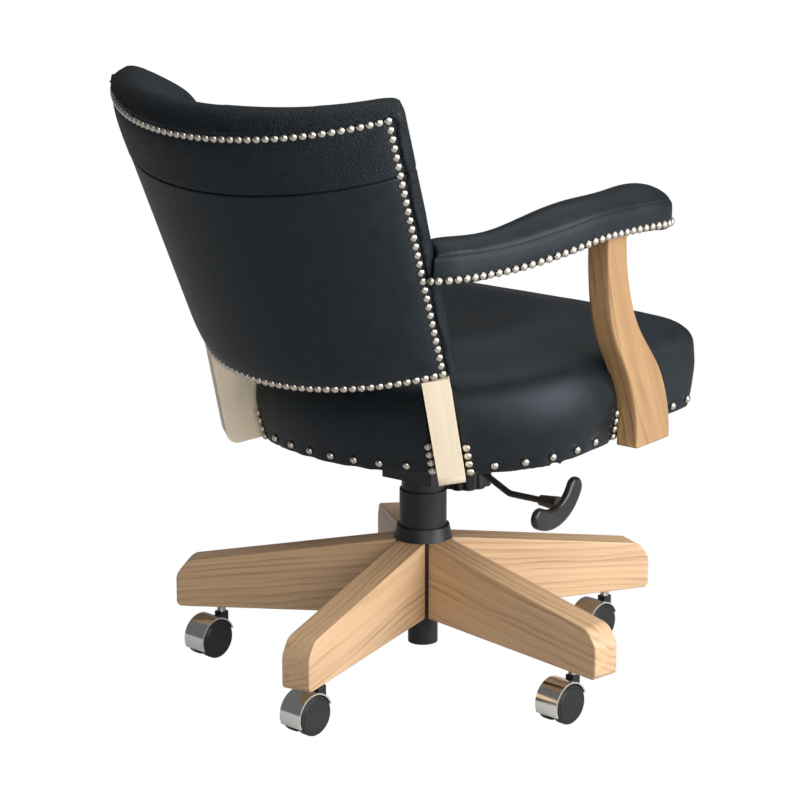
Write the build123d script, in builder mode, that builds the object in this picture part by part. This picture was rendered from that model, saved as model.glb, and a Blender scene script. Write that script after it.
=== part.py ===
from build123d import *
import os
from math import cos, pi, radians, sin, tan

os.makedirs("parts", exist_ok=True)

# Swivel chair: an upholstered tub back and seat on a tilting, height-adjustable column.
# The column stands in a five-arm wooden base on twin-wheel casters.
# Millimetres. Z is up, the sitter faces -Y, and the origin is where the swivel axis meets the floor.

# Clearances
FIT = 0.05                    # a shaft in its hole, on the radius
SEAM = 0.3                    # soft or curved faces that stay apart
PLAY = 0.5                    # free room at the end of a bore

# Casters
WHEEL_DIAMETER = 50
WHEEL_WIDTH = 12
WHEEL_SIDE_GAP = 0.4          # wheel to horn
TREAD_BEVEL = 1.6
DISC_STEP = 1                 # raised round face of a wheel
DISC_MARGIN = 4
HORN_WIDTH = 11.4
HORN_SKIRT = 14               # lowest edge of the horn above the floor
BOSS_LENGTH = 13
BOSS_RISE = 4                 # stem boss above the top of the wheels
TRAIL = 21.5
AXLE_DIAMETER = 6
AXLE_GRIP = 9.5               # how far the axle reaches into each wheel
HOOD_GAP = 0.8
HOOD_WALL = 1.8
HOOD_WIDTH = 33.5
HOOD_START = -25              # lower rear edge of the hood, as an angle at the axle
HOOD_END = 160                # front edge of the hood
STEM_DIAMETER = 11
SPIGOT_DIAMETER = 8
SPIGOT_LENGTH = 22
SOCKET_WALL = 1
SOCKET_DEPTH = 38
FLANGE_DIAMETER = 19
FLANGE_THICKNESS = 1.5
CASTER_HEADING = 83.6         # the way the wheels trail, counted from +X

# Wooden base
BASE_ARMS = 5
FIRST_ARM_HEADING = 26.6
BASE_ARM_WIDTH = 38
BASE_ARM_REACH = 315.0
BASE_ARM_CLEARANCE = 13       # wheel top to the underside of an arm's end
BASE_ARM_UNDER_RISE = 7.6     # the underside climbs this much towards the hub
BASE_ARM_DEPTH = 98.4         # height of an arm at the hub
NOSE_DEPTH = 61               # height of an arm where its sloping nose starts
NOSE_RUN = 14.3
END_FACE_HEIGHT = 41.5
NOSE_ROUND = 20
END_FOOT_ROUND = 7
BASE_ARM_EDGE = 2             # eased edges
STEM_CIRCLE = 261             # radius on which the caster stems stand

# Hub and its bolts
HUB_APOTHEM = 30
COLLAR_HEIGHT = 16
COLLAR_BASE_RADIUS = 36.5
COLLAR_TOP_RADIUS = 33
BOLT_DIAMETER = 8
BOLT_LENGTH = 54
BOLT_HEAD_DIAMETER = 13
BOLT_HEAD_HEIGHT = 5
BOLT_HEAD_SINK = 4.5          # thickness of hub wall left under a bolt head
LOWER_BOLT_RISE = 25          # above the hub's underside
BOLT_SPACING = 46

# Column
TUBE_DIAMETER = 37.5
TUBE_WALL = 2.2
TUBE_FLOOR_CLEARANCE = 31     # lower end of the column above the floor
TUBE_FLOOR = 3
ROD_DIAMETER = 10
ROD_COLLAR_DIAMETER = 20
ROD_COLLAR_HEIGHT = 4
ROD_HEAD_DIAMETER = 16
ROD_HEAD_HEIGHT = 2.5
BEARING_HEIGHT = 8
BEARING_DIAMETER = 28
CYLINDER_DIAMETER = 28
CYLINDER_WALL = 3
CYLINDER_END = 8
CYLINDER_FOOT_GAP = 12        # rod collar to the lowered cylinder
PISTON_HEIGHT = 12
PISTON_HEAD_ROOM = 8
BUSH_LENGTH = 60
LOWER_COVER_HEIGHT = 46
LOWER_COVER_DIAMETER = 59
UPPER_COVER_DIAMETER = 53.7
UPPER_COVER_SHOWN = 13        # part of the upper cover left in view
COVER_WALL = 2

# Tilt mechanism
HOUSING_HALF_WIDTH = 38
HOUSING_WALL = 3
HOUSING_REAR = 34
HOUSING_STEP = -48            # the deep rear part ends here
HOUSING_FRONT = -112
HOUSING_FLOOR_RISE = 3        # floor above the lower end of its boss
FRONT_FLOOR_RISE = 14         # shallow front floor above the deep floor
HOUSING_HEIGHT = 50
REAR_WALL_DROP = 8
SOCKET_BOSS_DIAMETER = 42
SOCKET_BOSS_HEIGHT = 35
BUTTON_DIAMETER = 8
BUTTON_RISE = 6
BUTTON_DEPTH = 14
PIVOT_Y = -30
PIVOT_RISE = 34               # pivot pin above the deep floor
PIVOT_DIAMETER = 10
PIVOT_HEAD_DIAMETER = 15
PIVOT_HEAD = 2
EAR_THICKNESS = 4
EAR_RADIUS = 13
EAR_GAP = 0.5
SEAT_LIFT = 66.4              # seat frame above the deep floor, on the swivel axis
SEAT_PITCH = 3.0              # degrees, front edge up
SEAT_PLATE_WIDTH = 170
SEAT_PLATE_FRONT = 105
SEAT_PLATE_REAR = 65
SEAT_PLATE_THICKNESS = 3
PLATE_BOLT_INSET = 15
PLATE_BOLT_DIAMETER = 6
PLATE_BOLT_GRIP = 14
PLATE_BOLT_HEAD = 4
PLATE_BOLT_HEAD_DIAMETER = 12

# Tension knob on its bolt, and the rubber spring round the bolt
KNOB_Y = -85
TENSION_BOLT_DIAMETER = 10
TENSION_BOLT_LENGTH = 92
KNOB_DIAMETER = 66
KNOB_HEIGHT = 25
KNOB_FLUTES = 12
FLUTE_RADIUS = 6
FLUTE_DEPTH = 2.5
KNOB_BORE_FLOOR = 6
KNOB_CUP_DIAMETER = 50
KNOB_CUP_DEPTH = 9
RUBBER_DIAMETER = 44
RUBBER_BORE = 27
BOLT_SLOT_LENGTH = 26
BOLT_SLOT_WIDTH = 13
BOLT_SLOT_LEAD = 5            # the slot reaches further forward than back

# Height lever
LEVER_DIAMETER = 8
LEVER_HOLE_GAP = 0.6
FINGER_REACH = 7              # past the centre of the button
FINGER_THICKNESS = 4
LEVER_SHOULDER = 12           # straight run outside the housing wall
LEVER_BEND_X = -132
LEVER_DROP = 40               # outer run below the inner run
LEVER_END_X = -204
LEVER_BEND_RADIUS = 16
PADDLE_SPAN = 77              # between the middles of the two wing tips
PADDLE_WIDTH = 26
PADDLE_THICKNESS = 10
PADDLE_ROUND = 4.2            # its rounded edges
PADDLE_SWEEP = 16             # the wing tips bend up this far
PADDLE_TURN = 17              # degrees that the front wing is raised
PADDLE_SHIFT = 3              # towards the rear
PADDLE_HANG = 13              # middle of the paddle below the rod
NECK_LENGTH = 26
NECK_DIAMETER = 13
NECK_FLARE = 18               # diameter of the neck where it meets the paddle

# Seat
SEAT_HALF_WIDTH = 246
SEAT_WIDEST_Y = -30
SHOULDER_X = 171
SHOULDER_Y = 136
SEAT_REAR = 190
SEAT_FRONT = 259
FRONT_HALF_WIDTH = 242
FRONT_CORNER_Y = 249
FRONT_CORNER_RADIUS = 22
DECK_THICKNESS = 18
DECK_INSET = 14
CUSHION_HEIGHT = 131.5
CUSHION_SHOULDER = 88         # where the sides turn over into the top
CUSHION_FOOT_TUCK = 9         # the leather draws in at its lower edge
CUSHION_TUCK = 4              # and at its shoulder
CUSHION_BULGE = 3
CUSHION_DROP = 2              # leather below the seat frame
CROWN_TURN = 20               # height of the turn from the sides into the top
CROWN_TURN_SHARE = 0.89       # size of the outline above that turn
CROWN_SLOPE = 35              # height where the top is still sloping
CROWN_SLOPE_SHARE = 0.68
CROWN_SHARE = 0.3             # size of the flat middle of the crown

# Back: a leaning cone of plain leather behind, with a padded front and rim
BACK_LEAN = 14.8
BACK_Y = 68.2                 # axis of the lowest nail row
BACK_RISE = 167.4             # above the seat frame on the swivel axis
BACK_HEIGHT = 336.5           # lowest nail row to the highest
BACK_RADIUS = 225
BACK_FLARE = 28               # growth of the radius over the height
BACK_RAKE = 29.5              # shift of the centre over the height
PANEL_PUFF = 6.5                # leather panel swelling outside its nail rows
PANEL_THICKNESS = 9.5
PANEL_ANGLE = 0.94            # half of the arc, in radians
PANEL_MARGIN = 5.5            # leather beyond the nail rows
FRAME_THICKNESS = 22
EDGE_ANGLE = 0.965             # half arc of the padded rim
EDGE_ROLL = 10                 # how far the rim bulges past that
SLICE_STEPS = (0.75, 0.4)      # where the padded back's shape is set, as shares of that half arc
EDGE_SHARE = 0.6              # thickness left at the end of that bulge
RIM_PUFF = 3                  # padded rim swelling behind the nail rows
BACK_PAD = 70                 # padded back at half height
BACK_PAD_TOP = 54             # at the highest nail row
BACK_PAD_FOOT = 46
ROLL_HEIGHT = 27.5              # rounded top above the highest nail row, in the middle
ROLL_END_HEIGHT = 16.5          # and at the two upper corners
CREST_DEPTH = 20              # crest line in from the rear face

# Rear posts
POST_ANGLE = 0.87
POST_TURN = 0.2               # each post is turned this far from straight out, in radians
POST_THICKNESS = 31.5
POST_LENGTH = 146.5
POST_TOP_DEPTH = 38
POST_FOOT_DEPTH = 78
POST_SCOOP_HEIGHT = 26        # narrow part of the post below the back
POST_SCOOP_RUN = 30           # height over which it widens
POST_SCOOP_ROUND = 16
POST_CORNER = 14
POST_PROUD = 2                # bare wood outside the leather

# Front posts and arm pads
FRONT_POST_THICKNESS = 30
FRONT_POST_INSET = 6          # inside the seat's widest line
FRONT_POST_FOOT = 2           # below the seat frame
PAD_REAR_WIDTH = 44
PAD_FRONT_WIDTH = 80
PAD_FRONT_Y = -130
PAD_REAR_Y = 250
PAD_REAR_INSET = 22           # centre of the pad's rear end inside the outer back
PAD_JOIN_HEIGHT = 145.5       # up the back
PAD_OFFSET = 8                # front of the pad inside the front post's centre
PAD_RISE = 246.6              # lowest underside above the seat frame
PAD_SWEEP = 22                # climb of the underside towards the front
PAD_DIP = 4                   # fall of the nose
PAD_SIDE = 33
PAD_CROWN = 21                # rounding of the top, where the pad starts to climb
PAD_NOSE_CROWN = 12
PAD_REAR_CROWN = 4.5
PAD_NOSE = 0.55               # width left at the tip of the nose
PAD_BEND_SHARE = 0.75         # the pad runs straight forward after this share of its length
PAD_WIDEN_SHARE = 0.9         # and is widest here
PAD_CLIMB_START = 0.2
PAD_CLIMB_SHARE = 0.45
PAD_CROWN_SHARE = 0.3
PAD_STATIONS = (0, 0.2, 0.4, 0.6, 0.8, 0.94, 1)
# Edges of a front post: y, and height above the foot
FRONT_POST_REAR = ((-69, 0), (-65, 50), (-42, 106), (-17, 150), (-4, 200))
FRONT_POST_FRONT = ((-48, 205), (-71, 151), (-114, 97), (-137, 45), (-142, 0))
FRONT_POST_HEAD = (-2, -42)   # y of both edges under the arm pad

# Heights and radii that follow from the sizes above
wheel_r = WHEEL_DIAMETER / 2
hood_in = wheel_r + HOOD_GAP
boss_top = WHEEL_DIAMETER + BOSS_RISE
arm_under_end = WHEEL_DIAMETER + BASE_ARM_CLEARANCE
arm_under_hub = arm_under_end + BASE_ARM_UNDER_RISE
arm_top_hub = arm_under_hub + BASE_ARM_DEPTH
arm_inner = HUB_APOTHEM + FIT
collar_base = arm_top_hub + SEAM
collar_top = collar_base + COLLAR_HEIGHT
cover_top = collar_top + LOWER_COVER_HEIGHT
boss_base = cover_top + UPPER_COVER_SHOWN
floor_z = boss_base + HOUSING_FLOOR_RISE
front_floor_z = floor_z + FRONT_FLOOR_RISE
housing_top = floor_z + HOUSING_HEIGHT
socket_top = boss_base + SOCKET_BOSS_HEIGHT
pivot_z = floor_z + PIVOT_RISE
seat_z = floor_z + SEAT_LIFT
back_z = seat_z + BACK_RISE
tube_r = TUBE_DIAMETER / 2
tube_in = tube_r - TUBE_WALL
cylinder_r = CYLINDER_DIAMETER / 2
tube_top = cover_top - COVER_WALL
bearing_top = TUBE_FLOOR_CLEARANCE + TUBE_FLOOR + BEARING_HEIGHT
cylinder_base = bearing_top + ROD_COLLAR_HEIGHT + CYLINDER_FOOT_GAP
bore_top = socket_top - BUTTON_DEPTH - CYLINDER_END
piston_top = bore_top - PISTON_HEAD_ROOM
finger_z = socket_top + BUTTON_RISE + SEAM + FINGER_THICKNESS / 2
arm_headings = [FIRST_ARM_HEADING + 360 / BASE_ARMS * i for i in range(BASE_ARMS)]

pitch = radians(SEAT_PITCH)
seat_frame = Plane(origin=(0, 0, seat_z), x_dir=(1, 0, 0), z_dir=(0, sin(pitch), cos(pitch)))
lean = radians(BACK_LEAN)
back_frame_plane = Plane(origin=(0, BACK_Y, back_z), x_dir=(1, 0, 0), z_dir=(0, sin(lean), cos(lean)))


def write(solid, name):
    solid.label = name
    export_step(solid, f"parts/{name}.step")


def under_arm(radius):
    """Height of a base arm's underside at a distance from the swivel axis."""
    share = (radius - arm_inner) / (BASE_ARM_REACH - arm_inner)
    return arm_under_hub + (arm_under_end - arm_under_hub) * share


def radial_plane(heading):
    """Upright plane through the swivel axis: first axis outwards, second axis up."""
    a = radians(heading)
    return Plane(origin=(0, 0, 0), x_dir=(cos(a), sin(a), 0), z_dir=(sin(a), -cos(a), 0))


# Five wooden base arms, each a tapering board with a sloping nose
socket_r = STEM_DIAMETER / 2 + FIT + SOCKET_WALL
bolt_heights = [arm_under_hub + LOWER_BOLT_RISE, arm_under_hub + LOWER_BOLT_RISE + BOLT_SPACING]
bolt_seat = HUB_APOTHEM - BOLT_HEAD_SINK
end_foot = (BASE_ARM_REACH, arm_under_end)
nose_low = (BASE_ARM_REACH, arm_under_end + END_FACE_HEIGHT)
nose_high = (BASE_ARM_REACH - NOSE_RUN, arm_under_end + NOSE_DEPTH)
for number, heading in enumerate(arm_headings, 1):
    upright = radial_plane(heading)
    with BuildPart() as base_arm:
        with BuildSketch(upright):
            with BuildLine():
                Polyline(
                    (arm_inner, arm_under_hub),
                    end_foot,
                    nose_low,
                    nose_high,
                    (arm_inner, arm_top_hub),
                    close=True,
                )
            make_face()
            fillet(vertices().sort_by_distance(nose_low)[0:1], NOSE_ROUND)
            fillet(vertices().sort_by_distance(nose_high)[0:1], NOSE_ROUND)
            fillet(vertices().sort_by_distance(end_foot)[0:1], END_FOOT_ROUND)
        extrude(amount=BASE_ARM_WIDTH / 2, both=True)
        side_edges = base_arm.edges().filter_by(
            lambda e: abs((e @ 0 - e @ 1).dot(upright.z_dir)) < BASE_ARM_EDGE
            and (e.center() - upright.origin).dot(upright.x_dir) > arm_inner + BASE_ARM_EDGE
        )
        fillet(side_edges, radius=BASE_ARM_EDGE)
        with Locations(upright * Location((STEM_CIRCLE, under_arm(STEM_CIRCLE), 0), (-90, 0, 0))):
            Cylinder(socket_r + FIT, 2 * SOCKET_DEPTH, mode=Mode.SUBTRACT)
        for height in bolt_heights:
            with Locations(upright * Location((bolt_seat, height, 0), (0, 90, 0))):
                Cylinder(
                    BOLT_DIAMETER / 2 + FIT,
                    BOLT_LENGTH + PLAY,
                    align=(Align.CENTER, Align.CENTER, Align.MIN),
                    mode=Mode.SUBTRACT,
                )
    write(base_arm.part, f"base_arm_{number}")

# Steel hub: a five-sided core between the arms with a round collar on top
with BuildPart() as hub:
    with BuildSketch(Plane.XY.offset(arm_under_hub)):
        RegularPolygon(
            HUB_APOTHEM, BASE_ARMS, major_radius=False, rotation=FIRST_ARM_HEADING + 180 / BASE_ARMS
        )
    extrude(amount=collar_base - arm_under_hub)
    with BuildSketch(Plane.XY.offset(collar_base)):
        Circle(COLLAR_BASE_RADIUS)
    with BuildSketch(Plane.XY.offset(collar_top)):
        Circle(COLLAR_TOP_RADIUS)
    loft(ruled=True)
    with Locations((0, 0, arm_under_hub)):
        Cylinder(tube_r + FIT, 3 * BASE_ARM_DEPTH, mode=Mode.SUBTRACT)
    for heading in arm_headings:
        for height in bolt_heights:
            with Locations(radial_plane(heading) * Location((bolt_seat, height, 0), (0, 90, 0))):
                Cylinder(BOLT_DIAMETER / 2 + FIT, HUB_APOTHEM, mode=Mode.SUBTRACT)
                Cylinder(
                    BOLT_HEAD_DIAMETER / 2 + FIT,
                    bolt_seat - tube_r / 2,
                    align=(Align.CENTER, Align.CENTER, Align.MAX),
                    mode=Mode.SUBTRACT,
                )
write(hub.part, "hub")

# Bolts that pull the arms against the hub, two to an arm, put in from inside the hub
with BuildPart() as arm_bolts:
    for heading in arm_headings:
        for height in bolt_heights:
            with Locations(radial_plane(heading) * Location((bolt_seat, height, 0), (0, 90, 0))):
                Cylinder(
                    BOLT_DIAMETER / 2, BOLT_LENGTH, align=(Align.CENTER, Align.CENTER, Align.MIN)
                )
                Cylinder(
                    BOLT_HEAD_DIAMETER / 2,
                    BOLT_HEAD_HEIGHT,
                    align=(Align.CENTER, Align.CENTER, Align.MAX),
                )
write(arm_bolts.part, "arm_bolts")

# Flanged steel sockets in the arms' undersides, and the caster stems that they grip
flange_top = under_arm(STEM_CIRCLE + FLANGE_DIAMETER / 2)
flange_base = flange_top - FLANGE_THICKNESS
with BuildPart() as caster_sockets:
    with PolarLocations(STEM_CIRCLE, BASE_ARMS, start_angle=FIRST_ARM_HEADING):
        with Locations((0, 0, flange_base)):
            Cylinder(
                socket_r,
                SOCKET_DEPTH - PLAY + FLANGE_THICKNESS,
                align=(Align.CENTER, Align.CENTER, Align.MIN),
            )
            Cylinder(
                FLANGE_DIAMETER / 2,
                FLANGE_THICKNESS,
                align=(Align.CENTER, Align.CENTER, Align.MIN),
            )
            Cylinder(STEM_DIAMETER / 2 + FIT, 3 * SOCKET_DEPTH, mode=Mode.SUBTRACT)
write(caster_sockets.part, "caster_sockets")

stem_base = boss_top + SEAM
with BuildPart() as caster_stems:
    with PolarLocations(STEM_CIRCLE, BASE_ARMS, start_angle=FIRST_ARM_HEADING):
        with Locations((0, 0, stem_base)):
            Cylinder(
                STEM_DIAMETER / 2,
                flange_base + SOCKET_DEPTH - PLAY - stem_base,
                align=(Align.CENTER, Align.CENTER, Align.MIN),
            )
            Cylinder(
                SPIGOT_DIAMETER / 2,
                SPIGOT_LENGTH,
                align=(Align.CENTER, Align.CENTER, Align.MAX),
            )
write(caster_stems.part, "caster_stems")

# Column tube, closed below by a floor that carries the thrust bearing
with BuildPart() as column_tube:
    with Locations((0, 0, TUBE_FLOOR_CLEARANCE)):
        Cylinder(
            tube_r, tube_top - TUBE_FLOOR_CLEARANCE, align=(Align.CENTER, Align.CENTER, Align.MIN)
        )
    with Locations((0, 0, TUBE_FLOOR_CLEARANCE + TUBE_FLOOR)):
        Cylinder(
            tube_in,
            tube_top - TUBE_FLOOR_CLEARANCE,
            align=(Align.CENTER, Align.CENTER, Align.MIN),
            mode=Mode.SUBTRACT,
        )
        Cylinder(ROD_DIAMETER / 2 + FIT, 3 * TUBE_FLOOR, mode=Mode.SUBTRACT)
write(column_tube.part, "column_tube")

with BuildPart() as column_bush:
    with Locations((0, 0, tube_top)):
        Cylinder(tube_in - FIT, BUSH_LENGTH, align=(Align.CENTER, Align.CENTER, Align.MAX))
        Cylinder(cylinder_r + FIT, 3 * BUSH_LENGTH, mode=Mode.SUBTRACT)
write(column_bush.part, "column_bush")

with BuildPart() as thrust_bearing:
    with Locations((0, 0, TUBE_FLOOR_CLEARANCE + TUBE_FLOOR)):
        Cylinder(BEARING_DIAMETER / 2, BEARING_HEIGHT, align=(Align.CENTER, Align.CENTER, Align.MIN))
        Cylinder(ROD_DIAMETER / 2 + FIT, 3 * BEARING_HEIGHT, mode=Mode.SUBTRACT)
write(thrust_bearing.part, "thrust_bearing")

# Two telescoping plastic covers: the lower stands on the hub, the upper hangs on the cylinder
lower_cover_in = LOWER_COVER_DIAMETER / 2 - COVER_WALL
with BuildPart() as lower_cover:
    with Locations((0, 0, collar_top)):
        Cylinder(
            LOWER_COVER_DIAMETER / 2,
            LOWER_COVER_HEIGHT,
            align=(Align.CENTER, Align.CENTER, Align.MIN),
        )
    with Locations((0, 0, collar_top + COVER_WALL)):
        Cylinder(
            lower_cover_in,
            LOWER_COVER_HEIGHT,
            align=(Align.CENTER, Align.CENTER, Align.MIN),
            mode=Mode.SUBTRACT,
        )
        Cylinder(tube_r + FIT, 3 * COVER_WALL, mode=Mode.SUBTRACT)
write(lower_cover.part, "lower_cover")

with BuildPart() as upper_cover:
    with Locations((0, 0, boss_base)):
        Cylinder(
            UPPER_COVER_DIAMETER / 2,
            LOWER_COVER_HEIGHT + UPPER_COVER_SHOWN - 2 * COVER_WALL,
            align=(Align.CENTER, Align.CENTER, Align.MAX),
        )
        Cylinder(cylinder_r + FIT, 3 * COVER_WALL, mode=Mode.SUBTRACT)
    with Locations((0, 0, boss_base - COVER_WALL)):
        Cylinder(
            UPPER_COVER_DIAMETER / 2 - COVER_WALL,
            LOWER_COVER_HEIGHT + UPPER_COVER_SHOWN,
            align=(Align.CENTER, Align.CENTER, Align.MAX),
            mode=Mode.SUBTRACT,
        )
write(upper_cover.part, "upper_cover")

# Gas spring: the rod stands on the bearing, and the cylinder rises on the rod
with BuildPart() as piston_rod:
    with Locations((0, 0, TUBE_FLOOR_CLEARANCE - ROD_HEAD_HEIGHT)):
        Cylinder(
            ROD_DIAMETER / 2,
            piston_top - TUBE_FLOOR_CLEARANCE + ROD_HEAD_HEIGHT,
            align=(Align.CENTER, Align.CENTER, Align.MIN),
        )
        Cylinder(
            ROD_HEAD_DIAMETER / 2,
            ROD_HEAD_HEIGHT - FIT,
            align=(Align.CENTER, Align.CENTER, Align.MIN),
        )
    with Locations((0, 0, bearing_top + FIT)):
        Cylinder(
            ROD_COLLAR_DIAMETER / 2,
            ROD_COLLAR_HEIGHT,
            align=(Align.CENTER, Align.CENTER, Align.MIN),
        )
    with Locations((0, 0, piston_top)):
        Cylinder(
            cylinder_r - CYLINDER_WALL - FIT,
            PISTON_HEIGHT,
            align=(Align.CENTER, Align.CENTER, Align.MAX),
        )
write(piston_rod.part, "piston_rod")

with BuildPart() as gas_cylinder:
    with Locations((0, 0, cylinder_base)):
        Cylinder(
            cylinder_r, socket_top - cylinder_base, align=(Align.CENTER, Align.CENTER, Align.MIN)
        )
        Cylinder(ROD_DIAMETER / 2 + FIT, 3 * CYLINDER_END, mode=Mode.SUBTRACT)
    with Locations((0, 0, cylinder_base + CYLINDER_END)):
        Cylinder(
            cylinder_r - CYLINDER_WALL,
            bore_top - cylinder_base - CYLINDER_END,
            align=(Align.CENTER, Align.CENTER, Align.MIN),
            mode=Mode.SUBTRACT,
        )
    with Locations((0, 0, socket_top)):
        Cylinder(
            BUTTON_DIAMETER / 2 + FIT,
            BUTTON_DEPTH,
            align=(Align.CENTER, Align.CENTER, Align.MAX),
            mode=Mode.SUBTRACT,
        )
write(gas_cylinder.part, "gas_cylinder")

with BuildPart() as release_button:
    with Locations((0, 0, socket_top + BUTTON_RISE)):
        Cylinder(
            BUTTON_DIAMETER / 2,
            BUTTON_RISE + BUTTON_DEPTH / 2,
            align=(Align.CENTER, Align.CENTER, Align.MAX),
        )
write(release_button.part, "release_button")

# Tilt housing: an open pressed box, deep round the column and shallow over the knob
side_view = Plane(origin=(0, 0, 0), x_dir=(0, 1, 0), z_dir=(1, 0, 0))
with BuildPart() as mechanism_housing:
    with BuildSketch(side_view):
        with BuildLine():
            Polyline(
                (HOUSING_REAR, floor_z),
                (HOUSING_REAR, housing_top - REAR_WALL_DROP),
                (0, housing_top),
                (HOUSING_FRONT, housing_top),
                (HOUSING_FRONT, front_floor_z),
                (HOUSING_STEP, front_floor_z),
                (HOUSING_STEP, floor_z),
                close=True,
            )
        make_face()
    extrude(amount=HOUSING_HALF_WIDTH, both=True)
    with BuildSketch(side_view):
        with BuildLine():
            Polyline(
                (HOUSING_REAR - HOUSING_WALL, floor_z + HOUSING_WALL),
                (HOUSING_REAR - HOUSING_WALL, seat_z),
                (HOUSING_FRONT + HOUSING_WALL, seat_z),
                (HOUSING_FRONT + HOUSING_WALL, front_floor_z + HOUSING_WALL),
                (HOUSING_STEP + HOUSING_WALL, front_floor_z + HOUSING_WALL),
                (HOUSING_STEP + HOUSING_WALL, floor_z + HOUSING_WALL),
                close=True,
            )
        make_face()
    extrude(amount=HOUSING_HALF_WIDTH - HOUSING_WALL, both=True, mode=Mode.SUBTRACT)
    with Locations((0, 0, boss_base)):
        Cylinder(
            SOCKET_BOSS_DIAMETER / 2,
            SOCKET_BOSS_HEIGHT,
            align=(Align.CENTER, Align.CENTER, Align.MIN),
        )
        Cylinder(cylinder_r + FIT, 3 * SOCKET_BOSS_HEIGHT, mode=Mode.SUBTRACT)
    with Locations(Location((0, PIVOT_Y, pivot_z), (0, 90, 0))):
        Cylinder(PIVOT_DIAMETER / 2 + FIT, 3 * HOUSING_HALF_WIDTH, mode=Mode.SUBTRACT)
    with Locations(Location((-HOUSING_HALF_WIDTH, 0, finger_z), (0, 90, 0))):
        Cylinder(LEVER_DIAMETER / 2 + LEVER_HOLE_GAP, 3 * HOUSING_WALL, mode=Mode.SUBTRACT)
    with BuildSketch(Plane.XY.offset(front_floor_z)):
        with Locations((0, KNOB_Y - BOLT_SLOT_LEAD)):
            SlotOverall(BOLT_SLOT_LENGTH, BOLT_SLOT_WIDTH, rotation=90)
    extrude(amount=3 * HOUSING_WALL, both=True, mode=Mode.SUBTRACT)
write(mechanism_housing.part, "mechanism_housing")

ear_outer = HOUSING_HALF_WIDTH + EAR_GAP + EAR_THICKNESS
with BuildPart() as pivot_pin:
    with Locations(Location((0, PIVOT_Y, pivot_z), (0, 90, 0))):
        Cylinder(PIVOT_DIAMETER / 2, 2 * (ear_outer + SEAM + PIVOT_HEAD))
    for side in (-1, 1):
        head_x = side * (ear_outer + SEAM + PIVOT_HEAD / 2)
        with Locations(Location((head_x, PIVOT_Y, pivot_z), (0, 90, 0))):
            Cylinder(PIVOT_HEAD_DIAMETER / 2, PIVOT_HEAD)
write(pivot_pin.part, "pivot_pin")

# Steel seat plate with two ears on the pivot pin, bolted under the plywood deck
plate_y = (SEAT_PLATE_REAR - SEAT_PLATE_FRONT) / 2
plate_length = SEAT_PLATE_REAR + SEAT_PLATE_FRONT
with BuildPart() as seat_plate:
    with BuildSketch(seat_frame):
        with Locations((0, plate_y)):
            RectangleRounded(SEAT_PLATE_WIDTH, plate_length, PLATE_BOLT_INSET)
        with Locations((0, plate_y)):
            with GridLocations(
                SEAT_PLATE_WIDTH - 2 * PLATE_BOLT_INSET, plate_length - 2 * PLATE_BOLT_INSET, 2, 2
            ):
                Circle(PLATE_BOLT_DIAMETER / 2 + FIT, mode=Mode.SUBTRACT)
    extrude(amount=-SEAT_PLATE_THICKNESS)
    for side in (-1, 1):
        with BuildSketch(side_view.offset(side * (ear_outer - EAR_THICKNESS / 2))):
            with Locations((PIVOT_Y, pivot_z)):
                Circle(EAR_RADIUS)
            with Locations((PIVOT_Y, (pivot_z + seat_z) / 2)):
                Rectangle(2 * EAR_RADIUS, seat_z - pivot_z)
            with Locations((PIVOT_Y, pivot_z)):
                Circle(PIVOT_DIAMETER / 2 + FIT, mode=Mode.SUBTRACT)
        extrude(amount=EAR_THICKNESS / 2, both=True)
    split(bisect_by=seat_frame, keep=Keep.BOTTOM)
write(seat_plate.part, "seat_plate")

with BuildPart() as plate_bolts:
    with BuildSketch(seat_frame.offset(-SEAT_PLATE_THICKNESS)):
        with Locations((0, plate_y)):
            with GridLocations(
                SEAT_PLATE_WIDTH - 2 * PLATE_BOLT_INSET, plate_length - 2 * PLATE_BOLT_INSET, 2, 2
            ):
                RegularPolygon(PLATE_BOLT_HEAD_DIAMETER / 2, 6)
    extrude(amount=-PLATE_BOLT_HEAD)
    with BuildSketch(seat_frame.offset(-SEAT_PLATE_THICKNESS)):
        with Locations((0, plate_y)):
            with GridLocations(
                SEAT_PLATE_WIDTH - 2 * PLATE_BOLT_INSET, plate_length - 2 * PLATE_BOLT_INSET, 2, 2
            ):
                Circle(PLATE_BOLT_DIAMETER / 2)
    extrude(amount=SEAT_PLATE_THICKNESS + PLATE_BOLT_GRIP)
write(plate_bolts.part, "plate_bolts")

# Tension bolt under the plate, the fluted knob on it and the rubber spring above the knob
bolt_start = seat_frame.offset(-SEAT_PLATE_THICKNESS)
with BuildPart() as tension_bolt:
    with BuildSketch(bolt_start):
        with Locations((0, KNOB_Y)):
            Circle(TENSION_BOLT_DIAMETER / 2)
    extrude(amount=-TENSION_BOLT_LENGTH)
write(tension_bolt.part, "tension_bolt")

knob_base = bolt_start.offset(-TENSION_BOLT_LENGTH - PLAY - KNOB_BORE_FLOOR)
knob_r = KNOB_DIAMETER / 2
with BuildPart() as tension_knob:
    with BuildSketch(knob_base):
        with Locations((0, KNOB_Y)):
            Circle(knob_r)
            with PolarLocations(knob_r - FLUTE_DEPTH + FLUTE_RADIUS, KNOB_FLUTES):
                Circle(FLUTE_RADIUS, mode=Mode.SUBTRACT)
    extrude(amount=KNOB_HEIGHT)
    with BuildSketch(knob_base.offset(KNOB_HEIGHT)):
        with Locations((0, KNOB_Y)):
            Circle(KNOB_CUP_DIAMETER / 2)
    extrude(amount=-KNOB_CUP_DEPTH, mode=Mode.SUBTRACT)
    with BuildSketch(knob_base.offset(KNOB_BORE_FLOOR)):
        with Locations((0, KNOB_Y)):
            Circle(TENSION_BOLT_DIAMETER / 2 + FIT)
    extrude(amount=KNOB_HEIGHT, mode=Mode.SUBTRACT)
write(tension_knob.part, "tension_knob")

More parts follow.
